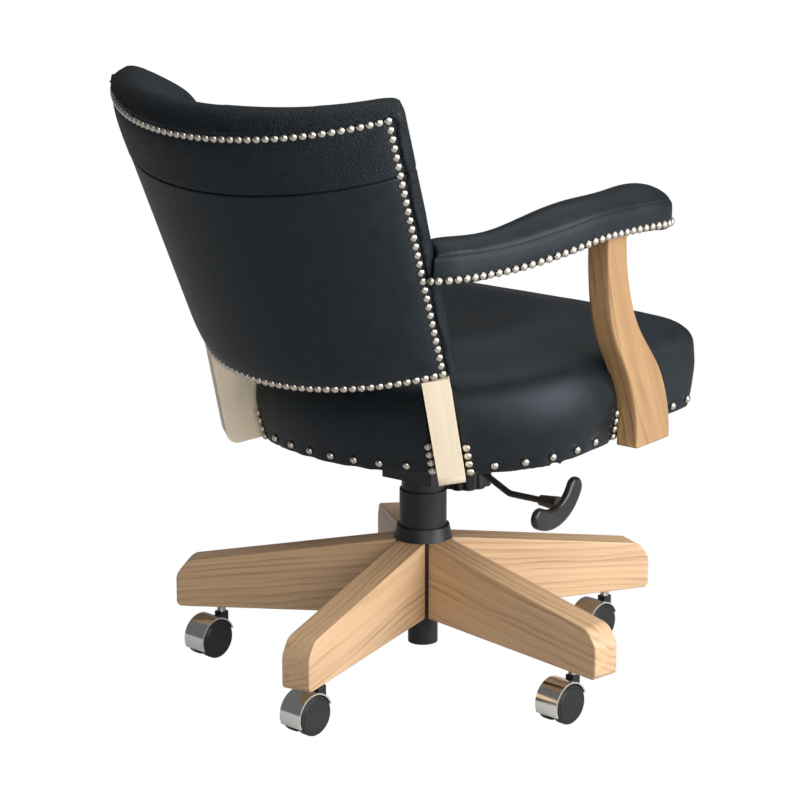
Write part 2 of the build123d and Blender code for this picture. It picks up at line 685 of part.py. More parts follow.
rubber_base = knob_base.offset(KNOB_HEIGHT - KNOB_CUP_DEPTH + SEAM)
rubber_rear = KNOB_Y + RUBBER_DIAMETER / 2
rubber_height = (
    (front_floor_z - rubber_base.origin.Z) / cos(pitch)
    + rubber_rear * tan(pitch)
    - RUBBER_DIAMETER * tan(pitch)
    - SEAM
)
with BuildPart() as tilt_spring:
    with BuildSketch(rubber_base):
        with Locations((0, KNOB_Y)):
            Circle(RUBBER_DIAMETER / 2)
            Circle(RUBBER_BORE / 2, mode=Mode.SUBTRACT)
    extrude(amount=rubber_height)
write(tilt_spring.part, "tilt_spring")

# Height lever: a bent rod through the housing wall, flat above the button, with a crescent paddle
lever_out_z = finger_z - LEVER_DROP
front_view = Plane(origin=(0, 0, 0), x_dir=(1, 0, 0), z_dir=(0, -1, 0))
wall_x = -HOUSING_HALF_WIDTH
with BuildPart() as lever_rod:
    with BuildLine(front_view):
        FilletPolyline(
            (wall_x + HOUSING_WALL, finger_z),
            (wall_x - LEVER_SHOULDER, finger_z),
            (LEVER_BEND_X, lever_out_z),
            (LEVER_END_X, lever_out_z),
            radius=LEVER_BEND_RADIUS,
        )
    rod_start = Plane(origin=(wall_x + HOUSING_WALL, 0, finger_z), x_dir=(0, 1, 0), z_dir=(-1, 0, 0))
    with BuildSketch(rod_start):
        Circle(LEVER_DIAMETER / 2)
    sweep()
    with BuildSketch(front_view):
        with BuildLine():
            Polyline(
                (FINGER_REACH, finger_z - FINGER_THICKNESS / 2),
                (FINGER_REACH, finger_z + FINGER_THICKNESS / 2),
                (wall_x + HOUSING_WALL, finger_z + FINGER_THICKNESS / 2),
                (wall_x + HOUSING_WALL, finger_z - FINGER_THICKNESS / 2),
                close=True,
            )
        make_face()
    extrude(amount=LEVER_DIAMETER / 2, both=True)
write(lever_rod.part, "lever_rod")

wing = radians(PADDLE_TURN)
paddle_plane = Plane(
    origin=(LEVER_END_X, 0, lever_out_z), x_dir=(0, -cos(wing), sin(wing)), z_dir=(-1, 0, 0)
)
half_span = PADDLE_SPAN / 2
tip = PADDLE_SWEEP - PADDLE_HANG
with BuildPart() as lever_paddle:
    with BuildSketch(paddle_plane):
        with BuildLine(mode=Mode.PRIVATE) as crescent:
            ThreePointArc(
                (-half_span - PADDLE_SHIFT, tip),
                (-PADDLE_SHIFT, -PADDLE_HANG),
                (half_span - PADDLE_SHIFT, tip),
            )
        SlotArc(crescent.line.edge(), PADDLE_WIDTH)
    extrude(amount=PADDLE_THICKNESS / 2, both=True)
    fillet(lever_paddle.edges().filter_by(GeomType.CIRCLE), PADDLE_ROUND)
    with Locations(Location((LEVER_END_X, 0, lever_out_z), (0, 90, 0))):
        Cone(
            NECK_FLARE / 2,
            NECK_DIAMETER / 2,
            NECK_LENGTH,
            align=(Align.CENTER, Align.CENTER, Align.MIN),
        )
        Cylinder(
            LEVER_DIAMETER / 2 + FIT,
            2 * NECK_LENGTH,
            align=(Align.CENTER, Align.CENTER, Align.MIN),
            mode=Mode.SUBTRACT,
        )
write(lever_paddle.part, "lever_paddle")

# Casters: a horn with its axle pin, a bright hood over it and two plain wheels
axle_plane = Plane(origin=(TRAIL, 0, wheel_r), x_dir=(1, 0, 0), z_dir=(0, -1, 0))
with BuildPart() as horn:
    with BuildSketch(axle_plane):
        Circle(hood_in - FIT)
    extrude(amount=HORN_WIDTH / 2, both=True)
    with BuildSketch(Plane.XY.offset(HORN_SKIRT)):
        Rectangle(BOSS_LENGTH, HORN_WIDTH)
    extrude(amount=boss_top - HORN_SKIRT)
    split(bisect_by=Plane.XY.offset(HORN_SKIRT), keep=Keep.TOP)
    with Locations((0, 0, boss_top)):
        Cylinder(
            SPIGOT_DIAMETER / 2 + FIT,
            SPIGOT_LENGTH + PLAY,
            align=(Align.CENTER, Align.CENTER, Align.MAX),
            mode=Mode.SUBTRACT,
        )
    with Locations(Location(axle_plane.origin, (90, 0, 0))):
        Cylinder(AXLE_DIAMETER / 2 + FIT, 2 * HORN_WIDTH, mode=Mode.SUBTRACT)

with BuildPart() as axle:
    with Locations(Location(axle_plane.origin, (90, 0, 0))):
        Cylinder(AXLE_DIAMETER / 2, HORN_WIDTH + 2 * WHEEL_SIDE_GAP + 2 * AXLE_GRIP)

with BuildPart() as hood:
    with BuildSketch(axle_plane):
        with BuildLine():
            outer = CenterArc((0, 0), hood_in + HOOD_WALL, HOOD_START, HOOD_END - HOOD_START)
            inner = CenterArc((0, 0), hood_in, HOOD_START, HOOD_END - HOOD_START)
            Line(outer @ 0, inner @ 0)
            Line(outer @ 1, inner @ 1)
        make_face()
    extrude(amount=HOOD_WIDTH / 2, both=True)
    Box(BOSS_LENGTH + 2 * SEAM, HORN_WIDTH + 2 * SEAM, 4 * boss_top, mode=Mode.SUBTRACT)


def make_wheel(side):
    """One wheel on its own side of the horn, with a blind bore for the axle."""
    near = HORN_WIDTH / 2 + WHEEL_SIDE_GAP
    far = near + WHEEL_WIDTH
    bore_end = near + AXLE_GRIP + PLAY
    bore_r = AXLE_DIAMETER / 2 + FIT
    section = Plane(origin=axle_plane.origin, x_dir=(0, side, 0), z_dir=(side, 0, 0))
    with BuildPart() as wheel:
        with BuildSketch(section):
            with BuildLine():
                Polyline(
                    (near, bore_r),
                    (near, wheel_r - TREAD_BEVEL),
                    (near + TREAD_BEVEL, wheel_r),
                    (far - DISC_STEP - TREAD_BEVEL, wheel_r),
                    (far - DISC_STEP, wheel_r - TREAD_BEVEL),
                    (far - DISC_STEP, wheel_r - DISC_MARGIN),
                    (far, wheel_r - DISC_MARGIN - DISC_STEP),
                    (far, 0),
                    (bore_end, 0),
                    (bore_end, bore_r),
                    close=True,
                )
            make_face()
        revolve(axis=Axis(axle_plane.origin, (0, 1, 0)))
    return wheel.part


for number, heading in enumerate(arm_headings, 1):
    a = radians(heading)
    place = Location((STEM_CIRCLE * cos(a), STEM_CIRCLE * sin(a), 0), (0, 0, CASTER_HEADING))
    write(Compound(children=[horn.part.moved(place), axle.part.moved(place)]), f"caster_{number}_horn")
    write(hood.part.moved(place), f"caster_{number}_hood")
    write(make_wheel(1).moved(place), f"caster_{number}_wheel_left")
    write(make_wheel(-1).moved(place), f"caster_{number}_wheel_right")


def back_radius(height):
    return BACK_RADIUS + BACK_FLARE * height / BACK_HEIGHT


def back_centre(height):
    return BACK_RAKE * height / BACK_HEIGHT


def back_spot(height, angle, inward):
    """A point of the back in its own leaning plane: across and backwards."""
    r = back_radius(height) - inward
    return (r * sin(angle), back_centre(height) + r * cos(angle))


def back_section(height, low, high, outside, inside):
    """Curved strip across the back between two angles and two depths from the rear face."""
    middle = (low + high) / 2
    with BuildSketch(back_frame_plane.offset(height)) as strip:
        with BuildLine():
            ThreePointArc(
                back_spot(height, low, outside),
                back_spot(height, middle, outside),
                back_spot(height, high, outside),
            )
            Line(back_spot(height, high, outside), back_spot(height, high, inside))
            ThreePointArc(
                back_spot(height, high, inside),
                back_spot(height, middle, inside),
                back_spot(height, low, inside),
            )
            Line(back_spot(height, low, inside), back_spot(height, low, outside))
        make_face()
    return strip.sketch


panel_foot = -PANEL_MARGIN
panel_head = BACK_HEIGHT + PANEL_MARGIN
panel_in = PANEL_THICKNESS - PANEL_PUFF
frame_out = panel_in + SEAM
frame_in = frame_out + FRAME_THICKNESS
post_half = POST_THICKNESS / 2 / BACK_RADIUS
frame_angle = POST_ANGLE - post_half - SEAM / BACK_RADIUS


def back_slice(angle, share, grow):
    """Upright section through the padded back at an angle round it, with a rounded crest."""
    across = back_frame_plane.x_dir * sin(angle) + back_frame_plane.y_dir * cos(angle)
    up = back_frame_plane.z_dir + back_frame_plane.y_dir * (BACK_RAKE / BACK_HEIGHT)
    section_plane = Plane(origin=back_frame_plane.origin, x_dir=across, z_dir=across.cross(up))
    end_drop = (ROLL_HEIGHT - ROLL_END_HEIGHT) * (angle / EDGE_ANGLE) ** 2
    crest = BACK_HEIGHT + ROLL_HEIGHT - end_drop + grow

    def spot(height, inward):
        """Drawn in towards the middle of the padding by the share, on the section's own plane."""
        depth = CREST_DEPTH + (inward - CREST_DEPTH) * share
        x, y = back_spot(height, angle, depth)
        place = section_plane.to_local_coords(back_frame_plane.from_local_coords((x, y, height)))
        return (place.X, place.Y)

    outer_foot = spot(panel_foot - grow, -RIM_PUFF - grow)
    outer_top = spot(BACK_HEIGHT + PANEL_MARGIN, -RIM_PUFF - grow)
    inner_top = spot(BACK_HEIGHT - PANEL_MARGIN, BACK_PAD_TOP + grow)
    inner_foot = spot(panel_foot - grow, BACK_PAD_FOOT + grow)
    with BuildSketch(section_plane) as section:
        with BuildLine():
            Line(outer_foot, outer_top)
            ThreePointArc(outer_top, spot(crest, CREST_DEPTH), inner_top)
            ThreePointArc(inner_top, spot(BACK_HEIGHT / 2, BACK_PAD + grow), inner_foot)
            Line(inner_foot, outer_foot)
        make_face()
    return section.sketch


def back_envelope(grow):
    """Whole padded back: a crowned front, rolled side edges and a rolled top."""
    edge = EDGE_ANGLE + grow / BACK_RADIUS
    end = edge + EDGE_ROLL / BACK_RADIUS
    right_half = [(-end, EDGE_SHARE), (-edge, 1)] + [(-edge * step, 1) for step in SLICE_STEPS]
    left_half = [(-angle, share) for angle, share in reversed(right_half)]
    slices = right_half + [(0, 1)] + left_half
    with BuildPart() as padded:
        loft([back_slice(angle, share, grow) for angle, share in slices])
    return padded.part


def back_board(grow):
    """Thin curved board covered in leather, or the room that it takes up."""
    reach = PANEL_ANGLE + grow / BACK_RADIUS
    with BuildPart() as board:
        loft(
            [
                back_section(h, -reach, reach, -PANEL_PUFF - grow, panel_in)
                for h in (panel_foot, panel_head)
            ],
            ruled=True,
        )
    return board.part


# Outer back, held by the nail rows
write(back_board(0), "back_panel")

# Curved wooden back frame between the two posts
with BuildPart() as back_shell:
    loft(
        [
            back_section(h, -frame_angle, frame_angle, frame_out, frame_in)
            for h in (panel_foot, BACK_HEIGHT)
        ],
        ruled=True,
    )
write(back_shell.part, "back_shell")

# Padded leather back that wraps over the frame's sides and top
pocket_angle = PANEL_ANGLE + SEAM / BACK_RADIUS
pocket_ends = [
    back_section(h, -pocket_angle, pocket_angle, -BACK_PAD, frame_in + SEAM)
    for h in (panel_foot - PANEL_MARGIN, panel_head + SEAM)
]
with BuildPart() as back_cushion:
    add(back_envelope(0))
    loft(pocket_ends, ruled=True, mode=Mode.SUBTRACT)
write(back_cushion.part, "back_cushion")


def post_plane(side):
    """Plane of a rear post's broad face: first axis outwards, second axis up the lean."""
    angle = side * POST_ANGLE
    r = BACK_RADIUS
    spot = back_frame_plane.from_local_coords((r * sin(angle), r * cos(angle), 0))
    turned = side * (POST_ANGLE - POST_TURN)
    out = back_frame_plane.x_dir * sin(turned) + back_frame_plane.y_dir * cos(turned)
    return Plane(origin=spot, x_dir=out, z_dir=out.cross(back_frame_plane.z_dir))


def post_board(side, grow):
    """Lower, bare part of a rear post, standing out behind the seat."""
    top = panel_foot - SEAM + grow
    foot = -POST_LENGTH - grow
    scoop = panel_foot - POST_SCOOP_HEIGHT + grow
    out = POST_PROUD + grow
    with BuildPart() as board:
        with BuildSketch(post_plane(side)):
            with BuildLine():
                Polyline(
                    (out, top),
                    (-POST_TOP_DEPTH - grow, top),
                    (-POST_TOP_DEPTH - grow, scoop),
                    (-POST_FOOT_DEPTH - grow, scoop - POST_SCOOP_RUN),
                    (-POST_FOOT_DEPTH - grow, foot),
                    (out, foot),
                    close=True,
                )
            make_face()
            fillet(vertices().sort_by_distance((-POST_TOP_DEPTH - grow, scoop, 0))[0:1], POST_SCOOP_ROUND)
            fillet(vertices().sort_by_distance((out, foot, 0))[0:1], POST_CORNER)
        extrude(amount=POST_THICKNESS / 2 + grow, both=True)
    return board.part


# Rear posts: bare below, and a hidden stile up inside the padded back
for side, name in ((1, "left"), (-1, "right")):
    low = POST_ANGLE - post_half + SEAM / BACK_RADIUS
    high = PANEL_ANGLE - SEAM / BACK_RADIUS
    stile_ends = [
        back_section(h, side * low, side * high, frame_out, frame_in)
        for h in (panel_foot - POST_TOP_DEPTH / 2, BACK_HEIGHT)
    ]
    with BuildPart() as rear_post:
        add(post_board(side, 0))
        loft(stile_ends, ruled=True)
    write(rear_post.part, f"rear_post_{name}")


def seat_outline(level, inset, share=1):
    """Outline of the seat, drawn in from its widest line by an inset and then shrunk to a share."""
    middle = (SEAT_REAR - SEAT_FRONT) / 2

    def spot(x, y):
        return (share * x, middle + share * (y - middle))

    shoulder_x = SHOULDER_X - inset * sin(pi / 4)
    shoulder_y = SHOULDER_Y - inset * sin(pi / 4)
    half = SEAT_HALF_WIDTH - inset
    corner_x = FRONT_HALF_WIDTH - inset
    corner_y = inset - FRONT_CORNER_Y
    with BuildSketch(seat_frame.offset(level)) as outline:
        with BuildLine():
            rear = ThreePointArc(
                spot(-shoulder_x, shoulder_y), spot(0, SEAT_REAR - inset), spot(shoulder_x, shoulder_y)
            )
            TangentArc([rear @ 1, spot(half, SEAT_WIDEST_Y)], tangent=rear % 1)
            Line(spot(half, SEAT_WIDEST_Y), spot(corner_x, corner_y))
            ThreePointArc(
                spot(corner_x, corner_y), spot(0, inset - SEAT_FRONT), spot(-corner_x, corner_y)
            )
            Line(spot(-corner_x, corner_y), spot(-half, SEAT_WIDEST_Y))
            TangentArc([rear @ 0, spot(-half, SEAT_WIDEST_Y)], tangent=(rear % 0) * -1)
        make_face()
        fillet(vertices().sort_by(Axis.Y)[0:2], FRONT_CORNER_RADIUS * share)
    return outline.sketch


# Plywood seat deck, notched for the rear posts
with BuildPart() as seat_deck:
    extrude(seat_outline(0, DECK_INSET), amount=DECK_THICKNESS)
    for side in (-1, 1):
        add(post_board(side, SEAM), mode=Mode.SUBTRACT)
    with BuildSketch(seat_frame):
        with Locations((0, plate_y)):
            with GridLocations(
                SEAT_PLATE_WIDTH - 2 * PLATE_BOLT_INSET, plate_length - 2 * PLATE_BOLT_INSET, 2, 2
            ):
                Circle(PLATE_BOLT_DIAMETER / 2 + FIT)
    extrude(amount=PLATE_BOLT_GRIP + PLAY, mode=Mode.SUBTRACT)
write(seat_deck.part, "seat_deck")


def pad_shape(share):
    """Centre, width, underside and heights of an arm pad at a share of its length from the rear."""
    y = PAD_REAR_Y + (PAD_FRONT_Y - PAD_REAR_Y) * share
    rear_x = (back_radius(PAD_JOIN_HEIGHT) - PAD_REAR_INSET) * sin(EDGE_ANGLE)
    front_x = SEAT_HALF_WIDTH - FRONT_POST_INSET + FRONT_POST_THICKNESS / 2 - PAD_OFFSET
    x = rear_x + (front_x - rear_x) * sin(min(share / PAD_BEND_SHARE, 1) * pi / 2)
    width = PAD_REAR_WIDTH + (PAD_FRONT_WIDTH - PAD_REAR_WIDTH) * min(share / PAD_WIDEN_SHARE, 1)
    climb = min(max((share - PAD_CLIMB_START) / PAD_CLIMB_SHARE, 0), 1)
    fall = max((share - PAD_BEND_SHARE) / (1 - PAD_BEND_SHARE), 0)
    z = seat_z + PAD_RISE + PAD_SWEEP * climb * climb * (3 - 2 * climb) - PAD_DIP * fall * fall
    swell = min(share / PAD_CROWN_SHARE, 1)
    crown = PAD_REAR_CROWN + (PAD_CROWN - PAD_REAR_CROWN) * swell
    crown += (PAD_NOSE_CROWN + PAD_DIP - PAD_CROWN) * climb
    return x, y, z, width, crown


# Arm pads: a padded board with upright sides, a crowned top and a rounded nose
arm_pads = {}
for side, name in ((1, "left"), (-1, "right")):
    with BuildPart() as arm_pad:
        for share in PAD_STATIONS:
            x, y, z, width, crown = pad_shape(share)
            narrow = PAD_NOSE if share == 1 else 1
            half = width / 2 * narrow
            base = z + PAD_SIDE * (1 - narrow) / 2
            with BuildSketch(Plane(origin=(side * x, y, base), x_dir=(1, 0, 0), z_dir=(0, -1, 0))):
                with BuildLine():
                    Line((-half, 0), (half, 0))
                    Line((half, 0), (half, PAD_SIDE * narrow))
                    ThreePointArc(
                        (half, PAD_SIDE * narrow),
                        (0, (PAD_SIDE + crown) * narrow),
                        (-half, PAD_SIDE * narrow),
                    )
                    Line((-half, PAD_SIDE * narrow), (-half, 0))
                make_face()
        loft()
        add(back_envelope(SEAM), mode=Mode.SUBTRACT)
        add(back_board(SEAM), mode=Mode.SUBTRACT)
    arm_pads[name] = arm_pad.part.solids().sort_by(Axis.Y)[0]
    write(arm_pads[name], f"arm_pad_{name}")


def front_post_board(side, grow):
    """Flat board with a swept front and rear edge, outside the seat's side."""
    near = SEAT_HALF_WIDTH - FRONT_POST_INSET - grow
    foot = seat_z - FRONT_POST_FOOT - grow
    head = seat_z + PAD_RISE + PAD_SWEEP + PAD_SIDE / 2
    with BuildPart() as board:
        with BuildSketch(Plane(origin=(side * near, 0, 0), x_dir=(0, 1, 0), z_dir=(1, 0, 0))):
            with BuildLine():
                rear = Spline(
                    [(y + grow, foot + up) for y, up in FRONT_POST_REAR]
                    + [(FRONT_POST_HEAD[0] + grow, head)]
                )
                front = Spline(
                    [(FRONT_POST_HEAD[1] - grow, head)]
                    + [(y - grow, foot + up) for y, up in FRONT_POST_FRONT]
                )
                Line(rear @ 1, front @ 0)
                Line(front @ 1, rear @ 0)
            make_face()
        extrude(amount=side * (FRONT_POST_THICKNESS + 2 * grow))
    return board.part


# Front posts, cut to the underside of the arm pads
for side, name in ((1, "left"), (-1, "right")):
    with BuildPart() as front_post:
        add(front_post_board(side, 0))
        add(arm_pads[name].moved(Location((0, 0, -SEAM))), mode=Mode.SUBTRACT)
    write(front_post.part.solids().sort_by(Axis.Z)[0], f"front_post_{name}")

# Seat cushion: leather drawn in below, swelling sides and a crowned top, with room for the deck
cushion_levels = [
    seat_outline(-CUSHION_DROP, CUSHION_FOOT_TUCK),
    seat_outline(CUSHION_SHOULDER / 2, -CUSHION_BULGE),
    seat_outline(CUSHION_SHOULDER, CUSHION_TUCK),
    seat_outline(CUSHION_SHOULDER + CROWN_TURN, CUSHION_TUCK, CROWN_TURN_SHARE),
    seat_outline(CUSHION_SHOULDER + CROWN_SLOPE, CUSHION_TUCK, CROWN_SLOPE_SHARE),
    seat_outline(CUSHION_HEIGHT, CUSHION_TUCK, CROWN_SHARE),
]
deck_room = seat_outline(-2 * CUSHION_DROP, DECK_INSET - SEAM)
with BuildPart() as seat_cushion:
    loft(cushion_levels)
    extrude(deck_room, amount=2 * CUSHION_DROP + DECK_THICKNESS + SEAM, mode=Mode.SUBTRACT)
    for side in (-1, 1):
        add(post_board(side, SEAM), mode=Mode.SUBTRACT)
        add(front_post_board(side, SEAM), mode=Mode.SUBTRACT)
write(seat_cushion.part, "seat_cushion")
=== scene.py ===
import bpy
import bmesh
import math
import numpy as np
from mathutils import Matrix, Vector
from mathutils.bvhtree import BVHTree


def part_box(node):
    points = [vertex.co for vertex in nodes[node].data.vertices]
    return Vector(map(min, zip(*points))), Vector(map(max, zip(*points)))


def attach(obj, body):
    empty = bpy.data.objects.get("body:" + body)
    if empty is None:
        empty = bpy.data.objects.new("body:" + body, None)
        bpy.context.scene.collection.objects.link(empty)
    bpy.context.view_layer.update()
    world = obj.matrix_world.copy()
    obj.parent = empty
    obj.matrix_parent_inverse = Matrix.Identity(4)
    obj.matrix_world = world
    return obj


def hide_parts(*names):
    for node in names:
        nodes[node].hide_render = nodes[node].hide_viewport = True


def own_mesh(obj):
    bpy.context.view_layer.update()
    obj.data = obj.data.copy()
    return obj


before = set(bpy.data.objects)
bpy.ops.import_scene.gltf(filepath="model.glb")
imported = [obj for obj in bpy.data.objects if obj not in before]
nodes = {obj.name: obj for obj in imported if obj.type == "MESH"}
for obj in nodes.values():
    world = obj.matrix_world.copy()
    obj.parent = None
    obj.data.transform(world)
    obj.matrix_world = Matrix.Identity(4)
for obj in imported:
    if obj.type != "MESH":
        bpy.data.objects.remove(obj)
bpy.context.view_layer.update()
scene = bpy.context.scene

# Camera: behind the chair and a little above it, on its right-hand side, with a long lens. Its
# place was worked out from the base arms and the casters in the photo.
CAMERA_PLACE = Vector((-2.255, 3.007, 1.337))
CAMERA_LOOK = Vector((0.5864, -0.7696, -0.2555))
CAMERA_LENS = 141.4
SENSOR = 36.0
camera_data = bpy.data.cameras.new("camera")
camera_data.lens = CAMERA_LENS
camera_data.sensor_width = SENSOR
camera_data.clip_end = 50
camera = bpy.data.objects.new("camera", camera_data)
scene.collection.objects.link(camera)
camera.location = CAMERA_PLACE
camera.rotation_euler = CAMERA_LOOK.to_track_quat("-Z", "Y").to_euler()
scene.camera = camera
scene.view_settings.view_transform = "Standard"


# Studio: a pale floor that is lost in a white background, one broad light on the chair's right,
# a softer one beside the camera and one overhead that draws the sheen on the seat.
class Value:
    """A shader socket that plain arithmetic can be written with."""

    def __init__(self, tree, socket):
        self.tree = tree
        self.socket = socket

    def node(self, kind, inputs, output=0, **settings):
        """Adds any node, fills its inputs by name or number, and returns one output as a Value."""
        made = self.tree.nodes.new(kind)
        for key, setting in settings.items():
            setattr(made, key, setting)
        for key, value in inputs.items():
            if isinstance(value, Value):
                self.tree.links.new(value.socket, made.inputs[key])
            else:
                made.inputs[key].default_value = value
        return Value(self.tree, made.outputs[output])

    def math(self, operation, first, second=0.0):
        return self.node("ShaderNodeMath", {0: first, 1: second}, operation=operation)

    def feeds(self, socket):
        self.tree.links.new(self.socket, socket)

    def __add__(self, other):
        return self.math("ADD", self, other)

    def __sub__(self, other):
        return self.math("SUBTRACT", self, other)

    def __rsub__(self, other):
        return self.math("SUBTRACT", other, self)

    def __mul__(self, other):
        return self.math("MULTIPLY", self, other)

    def __truediv__(self, other):
        return self.math("DIVIDE", self, other)

    def __pow__(self, other):
        return self.math("POWER", self, other)

    def dot(self, direction):
        return self.node(
            "ShaderNodeVectorMath", {0: self, 1: direction}, output="Value", operation="DOT_PRODUCT"
        )

    def vector(self, x, y, z):
        return self.node("ShaderNodeCombineXYZ", {0: x, 1: y, 2: z})

    def noise(self, scale, detail=2.0):
        return self.node("ShaderNodeTexNoise", {"Vector": self, "Scale": scale, "Detail": detail})

    def mixed(self, first, second):
        """Colour between two, with this value as the share of the second."""
        return self.node(
            "ShaderNodeMix", {0: self, 6: first, 7: second}, output=2, data_type="RGBA"
        )

    def clamped(self, low, high):
        """0 below low, 1 above high and smooth between them."""
        return self.node(
            "ShaderNodeMapRange",
            {"Value": self, "From Min": low, "From Max": high},
            interpolation_type="SMOOTHSTEP",
        )

    def bump(self, depth, strength=1.0):
        return self.node("ShaderNodeBump", {"Strength": strength, "Distance": depth, "Height": self})


def new_material(name, **constants):
    """A material, its shader and the place on the surface in metres."""
    material = bpy.data.materials.new(name)
    material.use_nodes = True
    tree = material.node_tree
    shader = tree.nodes["Principled BSDF"]
    for key, value in constants.items():
        shader.inputs[key.replace("_", " ")].default_value = value
    coordinates = tree.nodes.new("ShaderNodeTexCoord")
    return material, shader, Value(tree, coordinates.outputs["Object"])


def area_light(name, place, aim, size, power):
    data = bpy.data.lights.new(name, "AREA")
    data.size = size
    data.energy = power
    light = bpy.data.objects.new(name, data)
    light.location = place
    light.rotation_euler = (Vector(aim) - Vector(place)).to_track_quat("-Z", "Y").to_euler()
    scene.collection.objects.link(light)


FLOOR_HALF = 8.0
WHITE = (1.0, 1.0, 1.0, 1.0)
FLOOR_DARK = (0.50, 0.50, 0.50, 1.0)
FLOOR_PALE = (0.54, 0.54, 0.54, 1.0)
FLOOR_WHITE_SEEN = 0.996
FLOOR_WHITE_MIRRORED = 0.18
BACKDROP_LIGHT = 0.14
floor_mesh = bpy.data.meshes.new("floor")
floor_mesh.from_pydata(
    [(x * FLOOR_HALF, y * FLOOR_HALF, 0) for x, y in ((-1, -1), (1, -1), (1, 1), (-1, 1))],
    [],
    [(0, 1, 2, 3)],
)
floor = bpy.data.objects.new("floor", floor_mesh)
scene.collection.objects.link(floor)
floor_material, floor_shader, floor_spot = new_material("floor", Roughness=0.9)
floor_tone = floor_spot.noise(3.0)
floor_tone.mixed(FLOOR_DARK, FLOOR_PALE).feeds(floor_shader.inputs["Base Color"])
floor_tree = floor_material.node_tree
floor_glow = floor_tree.nodes.new("ShaderNodeEmission")
floor_glow.inputs["Color"].default_value = WHITE
floor_rays = floor_tree.nodes.new("ShaderNodeLightPath")
floor_mix = floor_tree.nodes.new("ShaderNodeMixShader")
seen = Value(floor_tree, floor_rays.outputs["Is Camera Ray"])
mirrored = Value(floor_tree, floor_rays.outputs["Is Glossy Ray"])
(seen * FLOOR_WHITE_SEEN + mirrored * FLOOR_WHITE_MIRRORED).feeds(floor_mix.inputs[0])
floor_tree.links.new(floor_shader.outputs[0], floor_mix.inputs[1])
floor_tree.links.new(floor_glow.outputs[0], floor_mix.inputs[2])
floor_tree.links.new(floor_mix.outputs[0], floor_tree.nodes["Material Output"].inputs["Surface"])
floor_mesh.materials.append(floor_material)

world = bpy.data.worlds.new("studio")
world.use_nodes = True
scene.world = world
world_tree = world.node_tree
backdrop = world_tree.nodes["Background"]
world_rays = world_tree.nodes.new("ShaderNodeLightPath")
behind = Value(world_tree, world_rays.outputs["Is Camera Ray"])
(behind * (1 - BACKDROP_LIGHT) + BACKDROP_LIGHT).feeds(backdrop.inputs["Strength"])
backdrop.inputs["Color"].default_value = WHITE

CHAIR_MIDDLE = (0, 0, 0.45)
area_light("key", place=(-3.1, -0.6, 1.4), aim=CHAIR_MIDDLE, size=2.6, power=140)
area_light("fill", place=(-2.8, 2.2, 1.9), aim=CHAIR_MIDDLE, size=2.4, power=60)
area_light("top", place=(-0.2, -0.6, 3.2), aim=CHAIR_MIDDLE, size=3.6, power=52)


# Base arms: five boards of pale, lacquered softwood cut through the growth rings, so the sides
# show long wavy lines and the ends show arcs.
def wood(name, along, pith, ring, light, dark, gloss, waver=0.05, contrast=0.8):
    """Rings round a pith line that runs along the grain, with fine fibres."""
    material, shader, spot = new_material(name, Coat_Weight=0.12, Coat_Roughness=0.25)
    grain = Vector(along).normalized()
    across = Vector((0, 0, 1)).cross(grain)
    if across.length < 0.1:
        across = Vector((1, 0, 0))
    across.normalize()
    upward = grain.cross(across)
    a = spot.dot(tuple(grain))
    b = spot.dot(tuple(across)) - pith[0]
    c = spot.dot(tuple(upward)) - pith[1]

    def drawn_out(lengthwise, sideways, detail):
        """Noise that is stretched along the grain."""
        return spot.vector(a * lengthwise, b * sideways, c * sideways).noise(1.0, detail)

    drift = drawn_out(2.4, 7, 3.0)
    radius = (b * b + c * c) ** 0.5 + (drift - 0.5) * waver
    years = spot.vector(radius * 55, 0.0, 0.0).noise(1.0, 1.0)
    phase = spot.math("FRACT", radius / ring + years * 1.6)
    late = (phase ** 3.0) * (1 - phase.clamped(0.88, 1.0))
    faint = drawn_out(4, 45, 2.0).clamped(0.38, 0.66)
    streak = drawn_out(3, 190, 2.0)
    fibre = drawn_out(14, 700, 3.0)
    pores = drawn_out(60, 1600, 1.0).clamped(0.62, 0.75)
    cloud = drawn_out(3, 9, 2.0)
    lines = late * (faint * 0.75 + 0.25) * contrast + (streak - 0.5) * 0.6
    tone = lines + (fibre - 0.5) * 0.45 + (cloud - 0.5) * 0.7 + pores * 0.12 + 0.16
    tone.mixed(light + (1,), dark + (1,)).feeds(shader.inputs["Base Color"])
    (fibre * 0.16 + gloss).feeds(shader.inputs["Roughness"])
    (fibre * 0.5 + pores * -0.4 + late * 0.3).bump(0.0003, 0.5).feeds(shader.inputs["Normal"])
    return material


def paint(node, material):
    """Gives a solid carried over from the frame its finish."""
    mesh = nodes[node].data
    mesh.materials.clear()
    mesh.materials.append(material)


BASE_ARMS = 5
FIRST_HEADING = 26.6
ARM_FALL = -0.12
ARM_RING = 0.0085
ARM_GLOSS = 0.36
ARM_LIGHT = (0.66, 0.445, 0.26)
ARM_DARK = (0.30, 0.158, 0.07)
ARM_PITHS = ((0.05, 0.03), (-0.02, 0.16), (0.045, 0.20), (-0.06, 0.05), (0.03, 0.02))
for number in range(BASE_ARMS):
    heading = math.radians(FIRST_HEADING + 360 / BASE_ARMS * number)
    slope = (math.cos(heading), math.sin(heading), ARM_FALL)
    arm_wood = wood(
        f"base_wood_{number + 1}", slope, ARM_PITHS[number], ARM_RING, ARM_LIGHT, ARM_DARK, ARM_GLOSS
    )
    paint(f"base_arm_{number + 1}", arm_wood)


